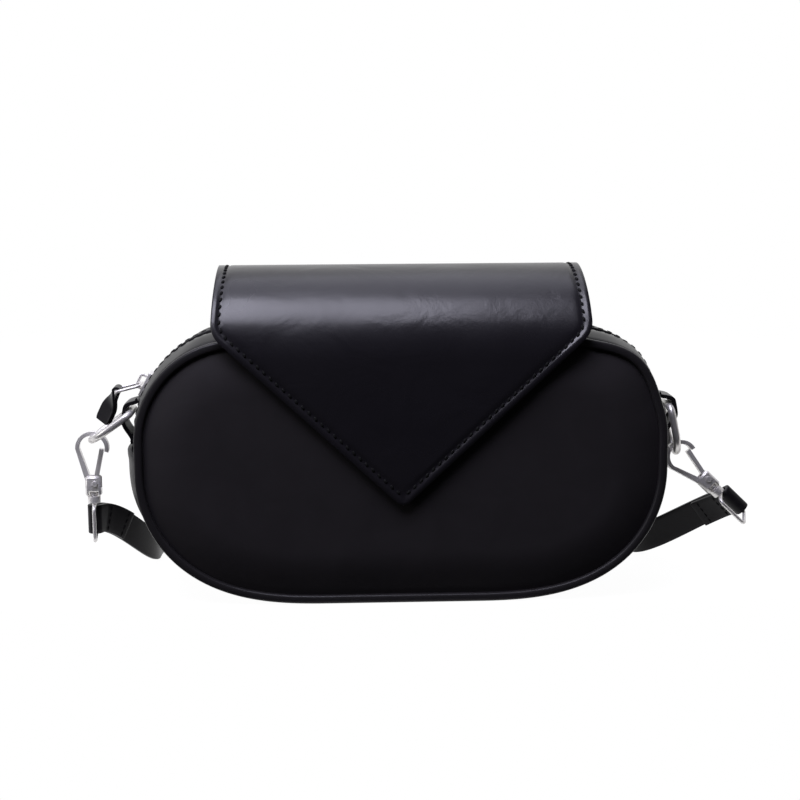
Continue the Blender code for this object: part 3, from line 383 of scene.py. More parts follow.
def grid_piece(name, columns, rows, place):
    """A flat grid laid out by its column and row values."""
    bpy.ops.mesh.primitive_grid_add(x_subdivisions=len(columns) - 1, y_subdivisions=len(rows) - 1)
    piece = bpy.context.object
    piece.name = name
    for vert in piece.data.vertices:
        column = round((vert.co.x + 1) / 2 * (len(columns) - 1))
        row = round((vert.co.y + 1) / 2 * (len(rows) - 1))
        vert.co = place(columns[column], rows[row])
    return piece


def new_finish(name):
    """A new material, its node tree, its shader and the piece's own coordinates."""
    made = bpy.data.materials.new(name)
    made.use_nodes = True
    tree = made.node_tree
    place = tree.nodes.new("ShaderNodeTexCoord").outputs["Object"]
    return made, tree, tree.nodes["Principled BSDF"], place


def toned(colour, times):
    """The same colour with more or less light in it."""
    return (*(channel * times for channel in colour[:3]), 1.0)


def two_tone(tree, shader, share, first, second):
    """Colours a shader by a mix of two colours."""
    tone = tree.nodes.new("ShaderNodeMix")
    tone.data_type = "RGBA"
    for name, value in (("Factor", share), ("A", first), ("B", second)):
        feed(tree, tone.inputs[name], value)
    tree.links.new(tone.outputs["Result"], shader.inputs["Base Color"])


def bumpy(tree, shader, height, strength, depth):
    """Raises and sinks a shader's surface by a pattern's height."""
    bump = node_of(tree, "ShaderNodeBump", Height=height, Strength=strength, Distance=depth)
    tree.links.new(bump.outputs["Normal"], shader.inputs["Normal"])
    return bump


def leather(name, colour, rough, grain=0.00045, depth=0.12, crease=0.06, specular=0.5):
    """Smooth coated leather: a fine pebble, faint creases and an uneven shine."""
    made, tree, shader, place = new_finish(name)
    pebble = node_of(tree, "ShaderNodeTexVoronoi", Vector=place, Scale=1 / grain, Randomness=0.9)
    pebble.feature = "SMOOTH_F1"
    pores = node_of(
        tree, "ShaderNodeTexNoise", Vector=place, Scale=0.6 / grain, Detail=4.0, Roughness=0.6
    )
    folds = node_of(
        tree, "ShaderNodeTexNoise", Vector=place, Scale=55.0, Detail=5.0, Distortion=0.7
    )
    cloudy = node_of(tree, "ShaderNodeTexNoise", Vector=place, Scale=18.0, Detail=3.0)
    surface = math_node(tree, "ADD", pebble.outputs["Distance"], pores.outputs["Fac"])
    fine = node_of(tree, "ShaderNodeBump", Height=surface, Strength=depth, Distance=grain / 4)
    wide = bumpy(tree, shader, folds.outputs["Fac"], crease, FOLD_DEPTH)
    tree.links.new(fine.outputs["Normal"], wide.inputs["Normal"])
    shine = node_of(
        tree, "ShaderNodeMapRange", Value=cloudy.outputs["Fac"], From_Min=0.3, From_Max=0.7,
        To_Min=rough + SHINE_SPREAD[0], To_Max=rough + SHINE_SPREAD[1],
    )
    tree.links.new(shine.outputs["Result"], shader.inputs["Roughness"])
    two_tone(tree, shader, folds.outputs["Fac"], colour, toned(colour, FOLD_PALER))
    shader.inputs["Specular IOR Level"].default_value = specular
    return made


def oval_share(u, v):
    """The distance round the oval for a point of a square: each of the square's sides counts 2."""
    if v >= abs(u):
        turn = u / v if v else 0.0
    elif u >= abs(v):
        turn = 2 - v / u
    elif -v >= abs(u):
        turn = 4 + u / v
    else:
        turn = 6 - v / u
    return turn / 8 * 2 * HALF_ROUND


def panel(name, side):
    """A square grid pulled out to the oval, then swollen and dented."""
    middle = Vector((0.0, BODY_HEIGHT / 2))

    def place(u, v):
        reach = max(abs(u), abs(v))
        point, normal = station(oval_share(u, v))
        if reach > 1 - PANEL_RIM_SHARE:
            into = (1 - reach) / PANEL_RIM_SHARE * PANEL_SLOPE * PANEL_SLOPE_RUN
            flat = point - normal * (PANEL_INSET + into)
        else:
            into = PANEL_SLOPE * PANEL_SLOPE_RUN
            rim = point - normal * (PANEL_INSET + into)
            flat = middle.lerp(rim, reach / (1 - PANEL_RIM_SHARE))
        inland = min(into / PANEL_SLOPE, 1.0)
        spot = (flat.x * DENTS_ACROSS + DENT_SIDE_SHIFT * side, DENT_LAYER, flat.y * DENTS_UP)
        soft = (1 + noise.noise(Vector(spot))) / 2
        rise = PANEL_PUFF * math.sin(math.pi / 2 * inland) - PANEL_DENT * inland**2 * soft
        return Vector((flat.x, side * (PANEL_BACK + PANEL_EDGE + rise), flat.y))

    cells = even(-1, 1, PANEL_CELLS)
    piece = grid_piece(name, cells, cells, place)
    bpy.ops.object.mode_set(mode="EDIT")
    bpy.ops.mesh.select_all(action="SELECT")
    bpy.ops.mesh.region_to_loop()
    wall = {"value": (0, -side * PANEL_EDGE, 0)}
    bpy.ops.mesh.extrude_region_move(TRANSFORM_OT_translate=wall)
    bpy.ops.mesh.edge_face_add()
    bpy.ops.object.mode_set(mode="OBJECT")
    tidy_mesh(piece)
    smooth(piece, degrees=50)
    return piece


# Paler base colour than the flap's: painted sheen in place of reflected front light.
panel_leather = leather("panel_leather", PANEL_BLACK_WITH_PAINTED_SHEEN, 0.42, crease=0.08, specular=0.13)
for name, side in (("panel_front", -1), ("panel_back", 1)):
    piece = panel(f"{name}_skin", side)
    dress(piece, panel_leather, "bag", "leather", name)


# Piping
# A cord wrapped in leather is sewn into each seam between a panel and the gusset, and stands
# proud as a smooth bead with a flattened face.
PIPING_ROUND = 260
PIPING_SIDES = 20
BEAD_FULLNESS = 0.62


def tube_round(name, path, radius, around, sides, fullness=1.0):
    """A torus whose ring is laid along a closed path. The path gives centre and two directions.

    A fullness under 1 makes its section squarer.
    """
    bpy.ops.mesh.primitive_torus_add(
        major_segments=around, minor_segments=sides, major_radius=1.0, minor_radius=0.25
    )
    piece = bpy.context.object
    piece.name = name
    for vert in piece.data.vertices:
        turn = math.atan2(vert.co.y, vert.co.x) / (2 * math.pi) % 1.0
        spin = math.atan2(vert.co.z, math.hypot(vert.co.x, vert.co.y) - 1.0)
        away, over = math.cos(spin), math.sin(spin)
        away = math.copysign(abs(away) ** fullness, away)
        over = math.copysign(abs(over) ** fullness, over)
        centre, out, across = path(turn)
        vert.co = centre + radius * (away * out + over * across)
    tidy_mesh(piece)
    smooth(piece, degrees=60)
    return piece


def piping_path(y):
    """The seam's path round the oval at one depth, drawn in by the bead's own radius."""

    def path(turn):
        point, normal = station(turn * 2 * HALF_ROUND)
        inner = point - normal * PIPING_RADIUS
        return Vector((inner.x, y, inner.y)), Vector((normal.x, 0, normal.y)), Vector((0, 1, 0))

    return path


piping_leather = leather(
    "piping_leather", (0.0135, 0.0125, 0.0140, 1.0), 0.38, crease=0.12, specular=0.24
)
for name, side in (("piping_front", -1), ("piping_back", 1)):
    seam = piping_path(side * (PANEL_BACK + PIPING_RADIUS))
    bead = tube_round(
        f"{name}_bead", seam, PIPING_RADIUS, PIPING_ROUND, PIPING_SIDES, BEAD_FULLNESS
    )
    dress(bead, piping_leather, "bag", "leather", name)


# Gusset
# One strip runs under the base and up both sides. Two narrow strips carry the zip over the top.
# All are single leather with turned edges, bowed outwards a little by what the bag holds.
GUSSET_THICKNESS = 0.0018
SIDE_CROWN = 0.0022
LOWER_CROWN_RIGHT = 0.0029
LOWER_CROWN_LEFT = 0.0050
LOWER_LAP = 0.0020
LAP_LIFT = 0.0004
TOP_SWELL = 0.0018
TOP_SWELL_ENDS = 0.090
TOP_SWELL_FADE = 0.013
CROWN_STARTS = 0.008
CROWN_FULL = 0.045
JOINT_BELOW_SHOULDER = 0.007
ZIP_OPENING = 0.012
LOWER_CELLS = (180, 14)
UPPER_CELLS = (160, 8)
TURNED_EDGE = 0.00035
HALVINGS = 48
SHARP = math.radians(50)


def wrap(distance, y, height, crown=SIDE_CROWN):
    """A point of a strip: round the oval, across it, and above its surface."""
    point, normal = station(distance)
    across = max(1 - (y / HALF_GUSSET) ** 2, 0.0)
    fade = ease((point.y - CROWN_STARTS) / (CROWN_FULL - CROWN_STARTS))
    swell = TOP_SWELL * ease((TOP_SWELL_ENDS - abs(from_middle(distance))) / TOP_SWELL_FADE)
    swell *= ease((abs(y) - ZIP_OPENING / 2) / ZIP_OPENING)
    out = height + (crown + swell) * across * fade
    return Vector((point.x + normal.x * out, y, point.y + normal.y * out))


def travel_to(height):
    """Distance from the top's middle down to a height on the upper half of the oval."""
    low, high = 0.0, HALF_ROUND
    for _ in range(HALVINGS):
        middle = (low + high) / 2
        if on_half(middle).y > height:
            low = middle
        else:
            high = middle
    return low


GUSSET_JOINT = travel_to(SHOULDER.y - JOINT_BELOW_SHOULDER)


def round_edges(piece, width, segments=3, limit=SHARP):
    """Rounds the edges that are sharper than an angle."""
    use_modifier(
        piece, "BEVEL", width=width, segments=segments, limit_method="ANGLE", angle_limit=limit
    )


def leather_strip(name, columns, rows, place, thickness, offset=-1.0, edge=TURNED_EDGE):
    """A grid given its thickness, with its cut edges rounded over."""
    piece = grid_piece(name, columns, rows, place)
    use_modifier(piece, "SOLIDIFY", thickness=thickness, offset=offset, use_even_offset=True)
    round_edges(piece, edge, segments=2)
    smooth(piece, degrees=45)
    return piece


def on_bag(height):
    """Lays a strip on the bag at one height above its surface."""
    return lambda distance, y: wrap(distance, y, height)


gusset_leather = leather(
    "gusset_leather", (0.0090, 0.0084, 0.0092, 1.0), 0.42, crease=0.10, specular=0.26
)
LOWER_START = GUSSET_JOINT - LOWER_LAP


def bulged(distance, y):
    """The lower strip swells at the sides, and its two ends lie over the upper strips' ends."""
    from_end = min(distance, 2 * HALF_ROUND - distance) - LOWER_START
    lift = LAP_LIFT * ease(2 - from_end / LOWER_LAP)
    crown = LOWER_CROWN_RIGHT if distance < HALF_ROUND else LOWER_CROWN_LEFT
    return wrap(distance, y, lift, crown)


lower = leather_strip(
    "gusset_lower_strip",
    even(LOWER_START, 2 * HALF_ROUND - LOWER_START, LOWER_CELLS[0]),
    even(-HALF_GUSSET, HALF_GUSSET, LOWER_CELLS[1]),
    bulged,
    GUSSET_THICKNESS,
)
dress(lower, gusset_leather, "bag", "leather", "gusset_lower")
for name, near, far in (
    ("gusset_top_front", -HALF_GUSSET, -ZIP_OPENING / 2),
    ("gusset_top_back", ZIP_OPENING / 2, HALF_GUSSET),
):
    upper = leather_strip(
        f"{name}_strip",
        even(-GUSSET_JOINT + GAP / 2, GUSSET_JOINT - GAP / 2, UPPER_CELLS[0]),
        even(near, far, UPPER_CELLS[1]),
        on_bag(0.0),
        GUSSET_THICKNESS,
    )
    dress(upper, gusset_leather, "bag", "leather", name)

STITCH_PITCH = 0.0036
STITCH_LENGTH = 0.0025
STITCH_THICKNESS = 0.00070
STITCH_FLATNESS = 0.7
THREAD_TWIST = 0.0001
THREAD_PALER = 1.8
STITCH_PROUD = 0.0001
ZIP_STITCH_PROUD = 0.00012
ZIP_STITCH_INSET = 0.0022
ZIP_STITCH_ENDS = 0.004


def thread(name, colour):
    """Waxed polyester thread with a fine twist."""
    made, tree, shader, place = new_finish(name)
    twist = node_of(tree, "ShaderNodeTexWave", Vector=place, Scale=900.0, Distortion=2.0)
    fuzz = node_of(tree, "ShaderNodeTexNoise", Vector=place, Scale=4000.0)
    bumpy(tree, shader, twist.outputs["Fac"], strength=0.5, depth=THREAD_TWIST)
    two_tone(tree, shader, fuzz.outputs["Fac"], colour, toned(colour, THREAD_PALER))
    shader.inputs["Roughness"].default_value = 0.7
    shader.inputs["Specular IOR Level"].default_value = 0.15
    return made


def add_copy(bm, mesh, matrix):
    """Adds a moved copy of a mesh to a mesh in the making."""
    start = len(bm.verts)
    bm.from_mesh(mesh)
    bm.verts.ensure_lookup_table()
    bmesh.ops.transform(bm, matrix=matrix, verts=bm.verts[start:])


def stitch_row(name, places, length=STITCH_LENGTH, width=STITCH_THICKNESS):
    """One short thread copied to each place: a point, its direction and the surface's normal."""
    bpy.ops.mesh.primitive_uv_sphere_add(segments=8, ring_count=6, radius=0.5)
    template = bpy.context.object
    bm = bmesh.new()
    for point, along, up in places:
        along = along.normalized()
        up = (up - along * up.dot(along)).normalized()
        turn = Matrix((along, up.cross(along), up)).transposed().to_4x4()
        size = Matrix.Diagonal((length, width, width * STITCH_FLATNESS, 1.0))
        add_copy(bm, template.data, Matrix.Translation(point) @ turn @ size)
    bm.to_mesh(template.data)
    bm.free()
    template.name = name
    smooth(template, degrees=80)
    return template


def outward(distance):
    """The oval's outward direction at a distance round it, in the bag's own frame."""
    normal = station(distance)[1]
    return Vector((normal.x, 0, normal.y))


def zip_row(y):
    """Places for the stitches that hold the zip, along one edge of its opening."""
    reach = GUSSET_JOINT - ZIP_STITCH_ENDS
    count = int(2 * reach / STITCH_PITCH)
    places = []
    for index in range(count):
        distance = -reach + (index + 0.5) * 2 * reach / count
        point = wrap(distance, y, ZIP_STITCH_PROUD)
        ahead = wrap(distance + STITCH_PITCH / 8, y, ZIP_STITCH_PROUD)
        places.append((point, ahead - point, outward(distance)))
    return places


black_thread = thread("black_thread", (0.0035, 0.0035, 0.004, 1.0))
edge_seam = ZIP_OPENING / 2 + ZIP_STITCH_INSET
zip_stitches = stitch_row("zip_stitches", zip_row(-edge_seam) + zip_row(edge_seam))
dress(zip_stitches, black_thread, "bag", "leather")


# Boards, lining and magnets
# Stiff boards behind the two panels, a woven lining, and the flat magnets that hold the flap
# down, glued or sewn in under the leather. Only the edge of a board can be glimpsed, from
# above and to one side, between the bead and the gusset.
CLOTH_PITCH = 0.0006
CARD_PITCH = 0.0015
WEAVE_PALER = 1.4
POLISH_DEPTH = 0.0002
WEAR_SPREAD = (0.75, 1.35)
WEAR_DARKER = 0.86


def woven(name, colour, pitch=CLOTH_PITCH):
    """A plain weave of paler and darker threads, with uneven slubs."""
    made, tree, shader, place = new_finish(name)
    weave = node_of(
        tree, "ShaderNodeTexChecker", Vector=place, Scale=1 / pitch,
        Color1=toned(colour, WEAVE_PALER), Color2=colour,
    )
    slub = node_of(tree, "ShaderNodeTexNoise", Vector=place, Scale=700.0, Detail=3.0)
    two_tone(tree, shader, slub.outputs["Fac"], weave.outputs["Color"], colour)
    bumpy(tree, shader, weave.outputs["Fac"], strength=0.4, depth=pitch / 4)
    shader.inputs["Roughness"].default_value = 0.9
    return made


def metal(name, colour, rough, brushed=0.05, metallic=1.0):
    """Steel with a faint polish grain and slightly uneven shine; satin plating is less metallic."""
    made, tree, shader, place = new_finish(name)
    marks = node_of(tree, "ShaderNodeTexNoise", Vector=place, Scale=900.0, Detail=3.0)
    wear = node_of(tree, "ShaderNodeTexNoise", Vector=place, Scale=220.0, Detail=4.0)
    bumpy(tree, shader, marks.outputs["Fac"], brushed, POLISH_DEPTH)
    shine = node_of(
        tree, "ShaderNodeMapRange", Value=wear.outputs["Fac"],
        To_Min=rough * WEAR_SPREAD[0], To_Max=rough * WEAR_SPREAD[1],
    )
    tree.links.new(shine.outputs["Result"], shader.inputs["Roughness"])
    two_tone(tree, shader, wear.outputs["Fac"], colour, toned(colour, WEAR_DARKER))
    shader.inputs["Metallic"].default_value = metallic
    return made


lining_cloth = woven("lining_cloth", (0.030, 0.028, 0.030, 1.0))
board_card = woven("board_card", (0.16, 0.13, 0.10, 1.0), CARD_PITCH)
magnet_steel = metal("magnet_steel", (0.42, 0.42, 0.43, 1.0), 0.35)
for name, finish in (
    ("lining", lining_cloth),
    ("board_front", board_card),
    ("board_back", board_card),
    ("body_magnet", magnet_steel),
    ("flap_magnet", magnet_steel),
):
    paint(nodes[name], finish)


# Zip
# Woven tapes under the top strips, with a nylon coil along each inner edge. The two coils lock
# together: each tooth ends in a head that sits between two of the other side's.
TAPE_WIDTH = 0.0093
TAPE_THICKNESS = 0.0005
TOOTH_PITCH = 0.0032
TOOTH_WIDTH = 0.0013
TOOTH_REACH = 0.0013
TOOTH_SPINE = 0.0010
TOOTH_HEIGHT = 0.0016
TOOTH_FIT = 0.96
TOOTH_FULLNESS = 0.86
TOOTH_HEAD = (0.6, 1.12)
TOOTH_NECK = (0.3, 0.8)
TOOTH_EDGE = 0.00018
CORD_EDGE = 0.0002
CORD_INSET = 0.0002
CORD_DROP_SHARE = 0.2
CORD_HEIGHT_SHARE = 0.6
RUN_CELLS = 150
TAPE_CELLS = 4
CORD_CELLS = 2
STOP_LENGTH = 0.0016
TAPE_TOP = -GUSSET_THICKNESS - GAP
TOOTH_TOP = TAPE_TOP + (TOOTH_HEIGHT - TAPE_THICKNESS) / 2
SPINE_IN = TOOTH_REACH + GAP
SPINE_OUT = SPINE_IN + TOOTH_SPINE
TAPE_IN = SPINE_OUT + GAP
RING_ABOVE_SHOULDER = 0.0080
TAB_ABOVE_RING = 0.0054
TAB_START = travel_to(SHOULDER.y + RING_ABOVE_SHOULDER) - TAB_ABOVE_RING
SLIDER_LENGTH = 0.010
SLIDER_POST = 0.0016
SLIDER_AT = -(TAB_START - 2 * GAP - SLIDER_LENGTH / 2 - SLIDER_POST / 2)
TEETH_LEFT = SLIDER_AT - SLIDER_LENGTH / 2 + SLIDER_POST + GAP
TEETH_RIGHT = GUSSET_JOINT - STOP_LENGTH - 2 * GAP

tape_cloth = woven("zip_tape_cloth", (0.011, 0.011, 0.012, 1.0))
for name, side in (("zip_tape_front", -1), ("zip_tape_back", 1)):
    near, far = sorted((side * TAPE_IN, side * (TAPE_IN + TAPE_WIDTH)))
    along = even(-GUSSET_JOINT, GUSSET_JOINT, RUN_CELLS)
    tape = grid_piece(f"{name}_weave", along, even(near, far, TAPE_CELLS), on_bag(TAPE_TOP))
    use_modifier(tape, "SOLIDIFY", thickness=TAPE_THICKNESS, offset=-1.0)
    smooth(tape)
    dress(tape, tape_cloth, "bag", "zip_tape", name)

nylon = leather("zip_nylon", (0.016, 0.016, 0.017, 1.0), 0.42, grain=0.0003, depth=0.05)


def tooth_mesh(reach, width):
    """One tooth: a bar with a swollen head at its inner end and rounded edges."""
    bpy.ops.mesh.primitive_cube_add(size=1.0)
    tooth = bpy.context.object
    height = TOOTH_HEIGHT * TOOTH_FULLNESS
    for vert in tooth.data.vertices:
        vert.co = (vert.co.x * width, (vert.co.y + 0.5) * reach, vert.co.z * height)
    bpy.ops.object.mode_set(mode="EDIT")
    bpy.ops.mesh.select_all(action="SELECT")
    bpy.ops.mesh.subdivide(number_cuts=2)
    bpy.ops.object.mode_set(mode="OBJECT")
    for vert in tooth.data.vertices:
        for starts, wider in (TOOTH_HEAD, TOOTH_NECK):
            if vert.co.y > reach * starts:
                vert.co.x *= wider
                break
    use_modifier(tooth, "BEVEL", width=TOOTH_EDGE, segments=2, limit_method="ANGLE")
    mesh = tooth.data.copy()
    bpy.data.objects.remove(tooth)
    return mesh


def zip_teeth(name, side):
    """All the teeth of one side. The two sides' teeth take turns."""
    tooth = tooth_mesh(SPINE_OUT + TOOTH_REACH, TOOTH_WIDTH * TOOTH_FIT)
    shift = TOOTH_PITCH / 2 if side > 0 else 0.0
    count = int((TEETH_RIGHT - TEETH_LEFT) / TOOTH_PITCH)
    bm = bmesh.new()
    for index in range(count):
        distance = TEETH_LEFT + index * TOOTH_PITCH + shift + GAP + TOOTH_WIDTH / 2
        out = outward(distance)
        across = Vector((0, -side, 0))
        turn = Matrix((across.cross(out), across, out)).transposed().to_4x4()
        at = Matrix.Translation(wrap(distance, side * SPINE_OUT, TOOTH_TOP - TOOTH_HEIGHT / 2))
        add_copy(bm, tooth, at @ turn)
    mesh = bpy.data.meshes.new(name)
    bm.to_mesh(mesh)
    bm.free()
    piece = bpy.data.objects.new(name, mesh)
    bpy.context.scene.collection.objects.link(piece)
    smooth(piece, degrees=50)
    return piece


for name, side in (("zip_teeth_front", -1), ("zip_teeth_back", 1)):
    teeth = zip_teeth(f"{name}_coil", side)
    dress(teeth, nylon, "bag", "zip_teeth", name)
    near, far = sorted((side * (SPINE_IN + CORD_INSET), side * SPINE_OUT))
    cord = leather_strip(
        f"{name}_cord",
        even(TEETH_LEFT, TEETH_RIGHT, RUN_CELLS),
        even(near, far, CORD_CELLS),
        on_bag(TOOTH_TOP - TOOTH_HEIGHT * CORD_DROP_SHARE),
        TOOTH_HEIGHT * CORD_HEIGHT_SHARE,
        edge=CORD_EDGE,
    )
    dress(cord, nylon, "bag", "zip_teeth")


# Metal fittings
# Satin castings with their edges tumbled smooth: slider, stop, hooks, gates and gate pins. The
# rings and eyes are nickel-plated round wire, bent and closed, and each eye has a riveted post.
SAME_POINT = 0.000001
FLAT_ENOUGH = math.radians(1.0)
TUMBLED_ABOVE = math.radians(38)
nickel = metal("nickel", (0.86, 0.84, 0.82, 1.0), 0.30, metallic=0.66)
satin = metal("satin_nickel", (0.92, 0.90, 0.88, 1.0), 0.34, metallic=0.60)


def tumbled(node, width):
    """A copy of a solid with its sharp edges rounded."""
    piece = nodes[node].copy()
    piece.data = nodes[node].data.copy()
    piece.name = f"{node}_cast"
    piece.parent = None
    piece.matrix_world = Matrix()
    bpy.context.scene.collection.objects.link(piece)
    tidy_mesh(piece, merge=SAME_POINT)
    use_modifier(piece, "DECIMATE", decimate_type="DISSOLVE", angle_limit=FLAT_ENOUGH)
    round_edges(piece, width, limit=TUMBLED_ABOVE)
    smooth(piece, degrees=35)
    return piece


body_of_node = {}
for body, members in frame["record"]["behaviour"]["bodies"].items():
    for member in members:
        body_of_node[member] = body
for node, width in (
    ("zip_slider", 0.00022),
    ("zip_stop", 0.0002),
    ("hook_left", 0.00026),
    ("hook_right", 0.00026),
    ("gate_left", 0.00022),
    ("gate_right", 0.00022),
    ("gate_pin_left", 0.0001),
    ("gate_pin_right", 0.0001),
):
    dress(tumbled(node, width), satin, body_of_node[node], "metal", node)

RING_WIRE = 0.0015
RING_INSIDE_WIDTH = 0.016
RING_REACH = 0.020
RING_CORNER = 0.0030
CORNER_STEPS = 8
BEND_STEPS = 40
LOOP_STEP = 0.004
SIDES = {
    "left": {"side": -1, "ring": math.radians(55), "eye": math.radians(6)},
    "right": {"side": 1, "ring": math.radians(12), "eye": math.radians(-20)},
}


def flat_loop(points, matrix):
    """A path for tube_round: a closed loop in the YZ plane, moved by a matrix."""
    line = [Vector((0.0, point.x, point.y)) for point in points + points[:1]]
    travel = lengths_along(line)
    turn_only = matrix.to_3x3()

    def read(turn):
        return point_along(line, travel, turn % 1.0 * travel[-1])[0]

    def path(turn):
        tangent = (read(turn + LOOP_STEP) - read(turn - LOOP_STEP)).normalized()
        out = tangent.cross(Vector((1, 0, 0)))
        return matrix @ read(turn), turn_only @ out, turn_only @ Vector((1, 0, 0))

    return path


def ring_loop():
    """A D: a straight bar with small corners, and a half circle below it."""
    half = RING_INSIDE_WIDTH / 2 + RING_WIRE
    straight = RING_REACH - half
    corner = half - RING_CORNER
    return (
        arc((corner, -RING_CORNER), RING_CORNER, math.pi / 2, 0, CORNER_STEPS)
        + arc((0.0, -straight), half, 0, -math.pi, BEND_STEPS)
        + arc((-corner, -RING_CORNER), RING_CORNER, math.pi, math.pi / 2, CORNER_STEPS)
    )


for name, pose in SIDES.items():
    bar = Vector(joints[f"ring_swing_{name}"]["pos_m"])
    at = Matrix.Translation(bar) @ Matrix.Rotation(-pose["side"] * pose["ring"], 4, "Y")
    shape = flat_loop(ring_loop(), at)
    ring = tube_round(f"d_ring_{name}_wire", shape, RING_WIRE, around=120, sides=18)
    dress(ring, nickel, f"hanger_{name}", "metal", f"d_ring_{name}")

EYE_WIRE = 0.00075
EYE_WIDTH = 0.0118
EYE_CORNER = 0.0020
STRAP_WIDTH = 0.012
POST_RADIUS = 0.0010
POST_HEAD_RADIUS = 0.0017
POST_HEAD = 0.0014
POST_EDGE = 0.00025
COLLAR_HEIGHT = 0.0028
EYE_TOP = -GAP - EYE_WIRE
EYE_INSIDE = STRAP_WIDTH + 2 * GAP


def rounded_loop(length, width, radius):
    """A rectangle with round corners that hangs from its top's middle."""
    half = width / 2
    loop = []
    for y, z, start in (
        (half - radius, -radius, 0.0),
        (-half + radius, -radius, math.pi / 2),
        (-half + radius, -length + radius, math.pi),
        (half - radius, -length + radius, 3 * math.pi / 2),
    ):
        loop += arc((y, z), radius, start, start + math.pi / 2, CORNER_STEPS)
    return loop


def swivel_frame(name):
    """The hook's frame at rest: its origin on the swivel's axis and Z along that axis."""
    joint = joints[f"hook_swivel_{name}"]
    axis = Vector(joint["axis"]).normalized()
    across = Vector((0, 1, 0)).cross(axis)
    turn = Matrix((across, Vector((0, 1, 0)), axis)).transposed().to_4x4()
    return Matrix.Translation(Vector(joint["pos_m"])) @ turn


def post_piece(name, frame_matrix):
    """The eye's post and its riveted head, turned in one piece."""
    bpy.ops.mesh.primitive_cylinder_add(vertices=24, radius=POST_RADIUS, depth=1.0)
    post = bpy.context.object
    post.name = name
    for vert in post.data.vertices:
        vert.co.z = EYE_TOP if vert.co.z < 0 else COLLAR_HEIGHT + GAP
    bpy.ops.object.mode_set(mode="EDIT")
    bpy.ops.mesh.select_mode(type="FACE")
    bpy.ops.mesh.select_all(action="DESELECT")
    bpy.ops.object.mode_set(mode="OBJECT")
    for face in post.data.polygons:
        face.select = face.normal.z > 0.9
    bpy.ops.object.mode_set(mode="EDIT")
    spread = POST_HEAD_RADIUS / POST_RADIUS
    bpy.ops.mesh.extrude_region()
    bpy.ops.transform.resize(value=(spread, spread, 1))
    bpy.ops.mesh.extrude_region_move(TRANSFORM_OT_translate={"value": (0, 0, POST_HEAD)})
    bpy.ops.object.mode_set(mode="OBJECT")
    round_edges(post, POST_EDGE)
    post.data.transform(frame_matrix)
    tidy_mesh(post)
    smooth(post, degrees=35)
    return post


for name, pose in SIDES.items():
    swivel = swivel_frame(name)
    at = swivel @ Matrix.Rotation(pose["eye"], 4, "Z") @ Matrix.Translation((0, 0, EYE_TOP))
    loop = rounded_loop(EYE_INSIDE + 2 * EYE_WIRE, EYE_WIDTH, EYE_CORNER)
    eye = tube_round(
        f"swivel_eye_{name}_wire", flat_loop(loop, at), EYE_WIRE, around=96, sides=14
    )
    dress(eye, nickel, f"hanger_{name}", "metal", f"swivel_eye_{name}")
    post = post_piece(f"swivel_post_{name}", swivel)
    dress(post, nickel, f"hanger_{name}", "metal")


# Zip pull
# A thin wire link hangs in the slider's bail, and a strip of leather is folded over it and
# glued to itself.
LINK_WIRE = 0.0006
LINK_LENGTH = 0.0110
LINK_WIDTH = 0.0122
LINK_DROP = math.radians(14.0)
PULL_LENGTH = 0.0145
PULL_WIDTH = 0.0082
PULL_LAYER = 0.0009
PULL_LEAN = math.radians(26.0)
PULL_TWIST = math.radians(45.0)
PULL_TWIST_SHARE = 0.6
PULL_CLOSES = 4 * PULL_LAYER
PULL_END = PULL_WIDTH / 4
PULL_END_NARROWS = 0.16
PULL_EDGE = 0.0002
PULL_CELLS = 8
PULL_LENGTH_STEPS = 14
PULL_FOLD_STEPS = 20

pull_hinge = Matrix.Translation(Vector(joints["zip_pull_swing"]["pos_m"]))
link_at = pull_hinge @ Matrix.Rotation(math.pi / 2 - LINK_DROP, 4, "Y")
link_run = LINK_LENGTH - 2 * LINK_WIRE
link_shape = rounded_loop(link_run, LINK_WIDTH - 2 * LINK_WIRE, 2 * LINK_WIRE)
link = tube_round(
    "zip_pull_link_wire", flat_loop(link_shape, link_at), LINK_WIRE, around=96, sides=12
)
dress(link, satin, "pull", "metal", "zip_pull_link")

fold = link_at @ Vector((0, 0, -link_run))
tongue_at = Matrix.Translation(fold) @ Matrix.Rotation(PULL_LEAN, 4, "Y")
layer_middle = LINK_WIRE + GAP + PULL_LAYER / 2
layer_gap = GAP / 2 + PULL_LAYER / 2
drops = even(PULL_LENGTH, PULL_CLOSES, PULL_LENGTH_STEPS)
tongue_path = [Vector((-layer_gap, -drop)) for drop in drops]
tongue_path += arc((0, 0), layer_middle, math.pi, 0, PULL_FOLD_STEPS)
tongue_path += [Vector((layer_gap, -drop)) for drop in reversed(drops)]


def tongue_place(point, y):
    """The tongue twists a little on its way down and narrows to a rounded end."""
    end = max(0.0, (-point.y - PULL_LENGTH + PULL_END) / PULL_END)
    narrower = 1 - PULL_END_NARROWS * end**2
    twisted = PULL_TWIST * ease(-point.y / (PULL_TWIST_SHARE * PULL_LENGTH))
    turned = Matrix.Rotation(twisted, 3, "Z") @ Vector((point.x, y * narrower, point.y))
    return tongue_at @ turned


strap_leather = leather(
    "strap_leather", (0.0080, 0.0074, 0.0088, 1.0), 0.36, crease=0.10, specular=0.14
)
tongue = leather_strip(
    "zip_pull_leather",
    tongue_path,
    even(-PULL_WIDTH / 2, PULL_WIDTH / 2, PULL_CELLS),
    tongue_place,
    PULL_LAYER,
    offset=0.0,
    edge=PULL_EDGE,
)
dress(tongue, strap_leather, "pull", "leather", "zip_pull_tongue")


